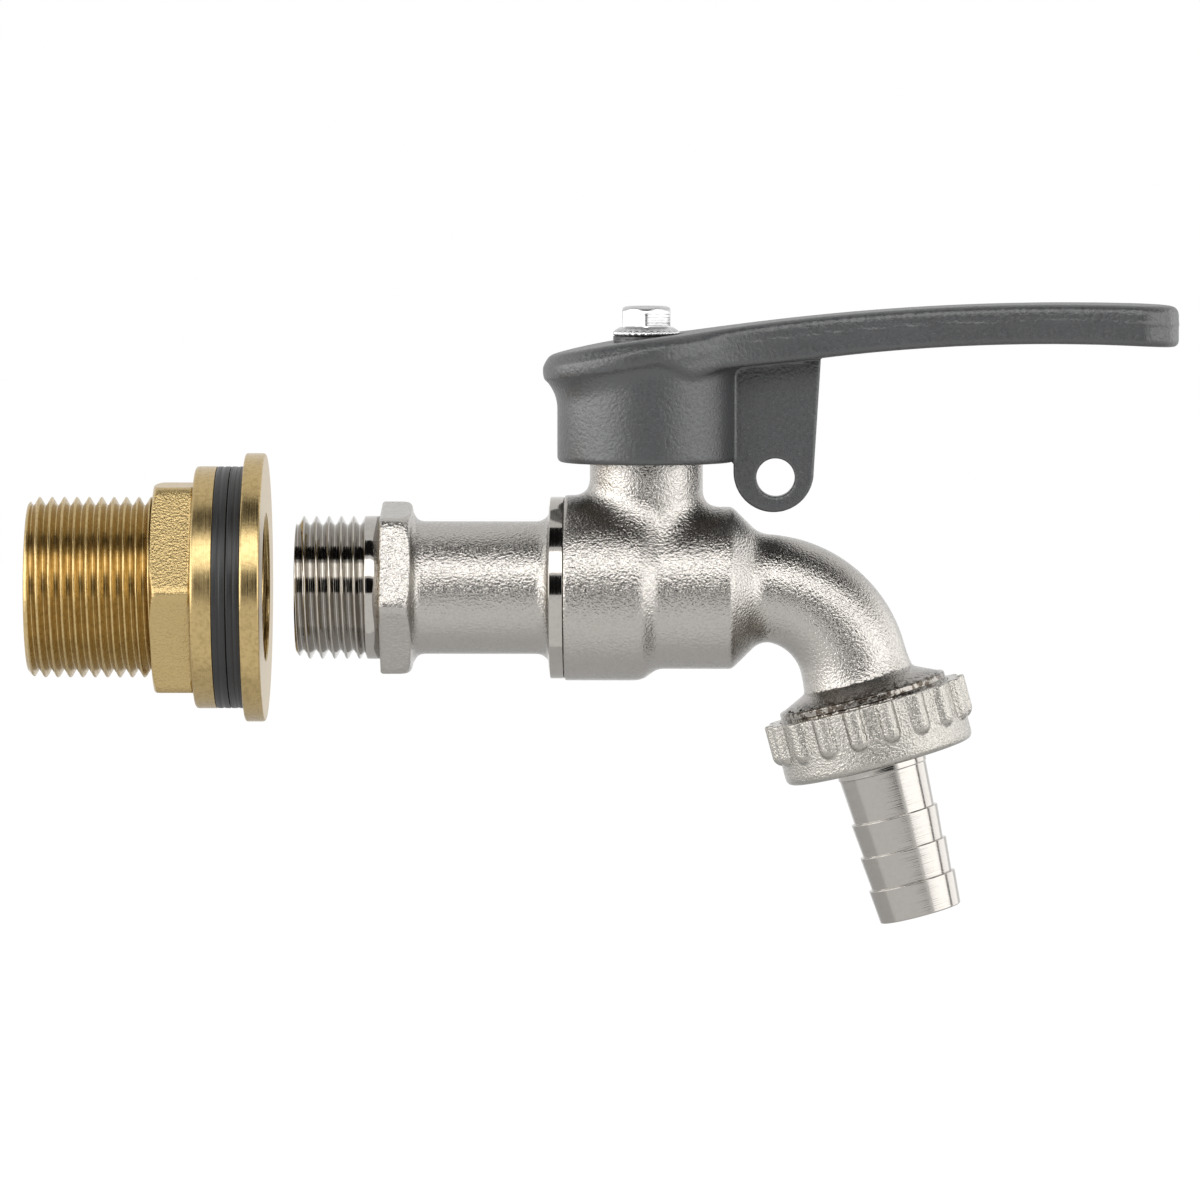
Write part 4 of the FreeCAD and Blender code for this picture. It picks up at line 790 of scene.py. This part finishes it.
NUT_ROLE = ("union_nut", "nut_nickel", ("union_nut",))
shell = soft_corners([
    (NUT_TOP, 12.7, 0.25), (NUT_TOP, NUT_RADIUS, 0.3), (NUT_END, NUT_RADIUS, 1.15),
    (NUT_END, NUT_OPENING, 0.3), (10.8, NUT_OPENING, 0.1), (10.8, 12.66, 0.1),
])
turned("grip_nut", filled(shell, 0.22), SPOUT, nut_nickel, *NUT_ROLE, 432, nut_shape)

TAIL_ROLE = ("hose_tail", "tail_nickel", ("hose_tail",))
tail_line = [(9.3, 4.5, 0.1), (9.3, 12.2, 0.1), (10.8, 12.2, 0.1), (10.8, 6.6, 0.1)]
tail_line += [(13.6, 6.62, 0.04), (13.7, 6.48, 0.04)]
tail_line += [(20.22, 6.02, 0.05), (20.3, 6.46, 0.06), (20.42, 6.48, 0.05)]
tail_line += [(25.22, 6.02, 0.05), (25.3, 6.46, 0.06), (25.42, 6.48, 0.05)]
tail_line += [(30.22, 6.02, 0.05), (30.3, 6.46, 0.06), (30.42, 6.48, 0.05)]
tail_line += [(35.2, 6.05, 0.12), (35.3, 5.9, 0.05), (35.3, 4.5, 0.2)]
turned("barbed_tail", soft_corners(tail_line), SPOUT, tail_nickel, *TAIL_ROLE, 192)

# Tank connector.

TANK = (TANK_PLACE, AGAINST_X, TO_VIEWER)
SHANK_START, SHANK_END = 2.9, 34.7
SHANK_CREST, SHANK_DEPTH = 13.22, 1.22
SOCKET_RADIUS, SOCKET_DEPTH = 10.55, 1.1
FLANGE_RADIUS = 19.63
SHANK_BORE = 9.0


def bushing_shape(angle, along, radius):
    """The outside thread of the shank and the inside thread of the socket."""
    outer = (radius > SHANK_CREST - 0.01) & (radius < 14) & (along > SHANK_START + 0.2)
    form = thread_form(-along, -angle, SHANK_CREST, SHANK_DEPTH)
    chamfer = SHANK_CREST - 1.0 + (SHANK_END - along) * 1.1
    form = np.minimum(form, np.maximum(chamfer, SHANK_CREST - 1.25))
    radius = np.where(outer, form, radius)
    socket = (np.abs(radius - SOCKET_RADIUS) < 0.005) & (along > 0.3) & (along < 12.6)
    inner = thread_form(-along, -angle, SOCKET_RADIUS, SOCKET_DEPTH)
    return np.where(socket, SOCKET_RADIUS + (SOCKET_RADIUS - inner) * 0.7, radius)


# The last two points only give the corners before and after them their direction.
flange = soft_corners([
    (0.0, 10.9, 0.1), (0.0, FLANGE_RADIUS, 0.45), (SHANK_START, FLANGE_RADIUS, 0.35),
    (SHANK_START, 13.6, 0), (3.0, 11.0, 0),
])[:-2]
bushing = [tuple(point) for point in flange]
bushing += [(along, SHANK_CREST) for along in np.arange(3.0, SHANK_END, 0.12)]
bushing += [(SHANK_END, 11.9), (SHANK_END, 9.4), (SHANK_END - 0.3, 9.05)]
bushing += [(SHANK_END - 0.8, SHANK_BORE), (14.6, SHANK_BORE), (13.0, 10.5)]
bushing += [(along, SOCKET_RADIUS) for along in np.arange(12.9, 0.3, -0.13)] + [(0.2, 10.7)]
BUSHING_ROLE = ("tank_bushing", "connector_brass", ("tank_bushing",))
turned("threaded_bushing", bushing, TANK, thread_brass, *BUSHING_ROLE, 240, bushing_shape)

TANK_NUT_ROLE = ("tank_nut", "nut_brass", ("tank_nut",))
NUT_START = 7.1
HEX_START = 10.2
HEX_END = 16.1
TANK_HEX_FLATS = 30.0
TANK_NUT_BORE = 13.3
TANK_NUT_RADIUS = 17.7
TANK_HEX_LIMIT = 17.45


def tank_nut_shape(angle, along, radius):
    """The hexagon of the nut under the limit that its profile gives."""
    on_hex = (along > HEX_START - 0.05) & (radius > 13.6)
    limited = soft_min(radius, hexagon(angle, TANK_HEX_FLATS, 0.0, 0.2), 0.5)
    return np.where(on_hex, limited, radius)


ring = soft_corners([
    (NUT_START, TANK_NUT_BORE, 0.1), (NUT_START, TANK_NUT_RADIUS, 0.1),
    (HEX_START, TANK_NUT_RADIUS, 0.55), (HEX_START, TANK_NUT_BORE, 0),
])
turned("nut_flange", ring, TANK, turned_brass, *TANK_NUT_ROLE, 224)
hexagon_line = [(HEX_START - 0.02, 13.4), (HEX_START - 0.02, TANK_HEX_LIMIT), (15.2, TANK_HEX_LIMIT)]
hexagon_line += [(15.45, 17.2), (15.75, 16.6), (16.05, 15.75)]
hexagon_line += [(HEX_END, 15.5), (HEX_END, 13.9), (15.6, TANK_NUT_BORE)]
hexagon_line = filled(np.array(hexagon_line), 0.5)
turned("nut_hexagon", hexagon_line, TANK, cast_brass, *TANK_NUT_ROLE, 360, tank_nut_shape)

RING_BORE = 13.45
RING_RADIUS = 17.68
GROOVE_RADIUS = 17.58
GROOVE_HALF = 0.25


def gasket(name, start, end, body, node):
    """A flat rubber ring with moulded edges and a shallow groove round it."""
    middle = (start + end) / 2
    line = [(start, RING_BORE, 0.1), (start, RING_RADIUS, 0.22)]
    line += [(middle - GROOVE_HALF, RING_RADIUS, 0.05), (middle, GROOVE_RADIUS, 0.1)]
    line += [(middle + GROOVE_HALF, RING_RADIUS, 0.05)]
    line += [(end, RING_RADIUS, 0.22), (end, RING_BORE, 0.1)]
    turned(name, soft_corners(line), TANK, gasket_rubber, body, "black_rubber", (node,), 192)


gasket("outer_ring", 2.92, 4.98, "tank_bushing", "outer_gasket")
gasket("inner_ring", 5.02, 7.08, "inner_gasket", "inner_gasket")

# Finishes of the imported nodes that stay.

SHARP_EDGE = math.radians(30)
KEPT = {
    "adapter_o_ring": ring_rubber,
    "stem_o_ring": ring_rubber,
    "union_gasket": ring_rubber,
    "ball": ball_chrome,
    "inlet_seat": seat_plastic,
    "outlet_seat": seat_plastic,
    "thrust_washer": seat_plastic,
    "stem_packing": seat_plastic,
    "stem": stem_brass,
    "gland_nut": stem_brass,
    "lever_washer": washer_steel,
}
for name, material in KEPT.items():
    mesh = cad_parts[name].data
    mesh.materials.clear()
    mesh.materials.append(material)
    mesh.shade_smooth()
    mesh.set_sharp_from_angle(angle=SHARP_EDGE)


# Camera, light and floor.

# These lengths are metres.
CAMERA_PLACE = Vector((0.060, -1.400, 0.080))
CAMERA_AIM = Vector((0.0319, 0.0, -0.0018))
PICTURE_WIDTH = 0.1754
ROOM_LEVEL = 0.5
FLOOR = -0.16
FLOOR_HALF = 3
LAMP_AIM = Vector((0.03, 0, 0))
LAMP_DISTANCE = 1.1

# Each lamp's turn from the camera and height in degrees, its width and height, and its power.
LAMPS = {
    "key_box": (0, 36, 1.7, 0.54, 6.6),
    "left_box": (-73, 9, 1.6, 0.7, 9.0),
    "right_box": (70, 9, 1.17, 0.7, 4.3),
    "rim_box": (122, 9, 0.63, 0.7, 1.6),
}


def make_camera():
    """The photograph's view: far off, a little above, and aimed between the tap and the connector."""
    data = bpy.data.cameras.new("camera")
    camera = bpy.data.objects.new("camera", data)
    bpy.context.scene.collection.objects.link(camera)
    away = CAMERA_AIM - CAMERA_PLACE
    camera.location = CAMERA_PLACE
    camera.rotation_mode = "QUATERNION"
    camera.rotation_quaternion = away.to_track_quat("-Z", "Y")
    data.sensor_width = 36.0
    data.lens = data.sensor_width * away.length / PICTURE_WIDTH
    data.clip_start = 0.02
    data.clip_end = 30.0
    bpy.context.scene.camera = camera


def seen_directly(tree):
    """One for rays from the camera or from metal or glass, and nothing for the rest."""
    path = tree.nodes.new("ShaderNodeLightPath")
    seen = path.outputs["Is Camera Ray"]
    for other in ("Is Glossy Ray", "Is Transmission Ray"):
        either = tree.nodes.new("ShaderNodeMath")
        either.operation = "MAXIMUM"
        tree.links.new(seen, either.inputs[0])
        tree.links.new(path.outputs[other], either.inputs[1])
        seen = either.outputs[0]
    return seen


def scaled(tree, value, at_nothing, at_one):
    """A value between nothing and one brought to a range."""
    level = tree.nodes.new("ShaderNodeMapRange")
    tree.links.new(value, level.inputs["Value"])
    level.inputs["To Min"].default_value = at_nothing
    level.inputs["To Max"].default_value = at_one
    return level.outputs["Result"]


def make_world():
    """White to the camera and to metal, and plain soft light for the rest."""
    world = bpy.data.worlds.new("studio")
    bpy.context.scene.world = world
    world.use_nodes = True
    tree = world.node_tree
    background = tree.nodes["Background"]
    background.inputs["Color"].default_value = (1, 1, 1, 1)
    tree.links.new(scaled(tree, seen_directly(tree), ROOM_LEVEL, 1.0), background.inputs["Strength"])


def matt(name, color):
    """A matt finish for what stands round the object."""
    material = bpy.data.materials.new(name)
    material.use_nodes = True
    shader = material.node_tree.nodes["Principled BSDF"]
    shader.inputs["Base Color"].default_value = (color, color, color, 1)
    shader.inputs["Roughness"].default_value = 0.9
    shader.inputs["Specular IOR Level"].default_value = 0.0
    return material


def make_panel(name, corners, material):
    """A flat panel that stands in the studio."""
    mesh = bpy.data.meshes.new(name)
    mesh.from_pydata(corners, [], [(0, 1, 2, 3)])
    mesh.materials.append(material)
    panel = bpy.data.objects.new(name, mesh)
    bpy.context.scene.collection.objects.link(panel)
    return panel


def make_floor():
    """A pale floor, as white as the background, that still takes a little of the object's shadow."""
    material = matt("floor_white", 0.82)
    tree = material.node_tree
    glow = tree.nodes.new("ShaderNodeEmission")
    glow.inputs["Strength"].default_value = 1.12
    mix = tree.nodes.new("ShaderNodeMixShader")
    tree.links.new(scaled(tree, seen_directly(tree), 0.0, 0.85), mix.inputs["Fac"])
    tree.links.new(tree.nodes["Principled BSDF"].outputs[0], mix.inputs[1])
    tree.links.new(glow.outputs[0], mix.inputs[2])
    tree.links.new(mix.outputs[0], tree.nodes["Material Output"].inputs["Surface"])
    corners = [(-1, -1), (1, -1), (1, 1), (-1, 1)]
    make_panel("floor", [(x * FLOOR_HALF, y * FLOOR_HALF, FLOOR) for x, y in corners], material)


def make_cards():
    """What only reflections show: three black cards round the tap, and a grey sheet under it that is a
    painted shadow of the tap on the floor.
    """
    black = matt("card_black", 0.01)
    low = FLOOR + 0.002
    cards = {
        "camera_card": [(-0.6, -1.6, FLOOR), (1.05, -1.6, FLOOR), (1.05, -1.6, 0.54), (-0.6, -1.6, 0.54)],
        "ceiling_card": [(-1.6, -0.81, 1.2), (1.6, -0.81, 1.2), (1.6, -0.1, 1.2), (-1.6, -0.1, 1.2)],
        "post_card": [(1.08, 0.14, FLOOR), (1.06, 0.26, FLOOR), (1.06, 0.26, 0.6), (1.08, 0.14, 0.6)],
    }
    for name, corners in cards.items():
        make_panel(name, corners, black).visible_camera = False
    # Painted shadow: a grey sheet on the floor under the tap that only glossy rays see, so the metal's
    # lower faces reflect a darker floor there.
    corners = [(-0.25, -0.045, low), (0.35, -0.045, low), (0.35, 0.45, low), (-0.25, 0.45, low)]
    shadow_sheet = make_panel("reflected_floor_shadow", corners, matt("reflected_shadow_grey", 0.85))
    shadow_sheet.visible_camera = False
    shadow_sheet.visible_diffuse = False
    shadow_sheet.visible_shadow = False


def make_lamp(name, turn, height, width, tall, power):
    """A soft box that faces the tap, by its turn from the camera and its height, in degrees."""
    turn, height = math.radians(turn), math.radians(height)
    level = math.cos(height)
    way = Vector((math.sin(turn) * level, -math.cos(turn) * level, math.sin(height)))
    data = bpy.data.lights.new(name, "AREA")
    data.shape = "RECTANGLE"
    data.size = width
    data.size_y = tall
    data.energy = power
    lamp = bpy.data.objects.new(name, data)
    lamp.location = LAMP_AIM + way * LAMP_DISTANCE
    lamp.rotation_mode = "QUATERNION"
    lamp.rotation_quaternion = way.to_track_quat("Z", "Y")
    lamp.visible_camera = False
    bpy.context.scene.collection.objects.link(lamp)


make_camera()
make_world()
make_floor()
make_cards()
for name, lamp in LAMPS.items():
    make_lamp(name, *lamp)
bpy.context.scene.view_settings.view_transform = "Standard"
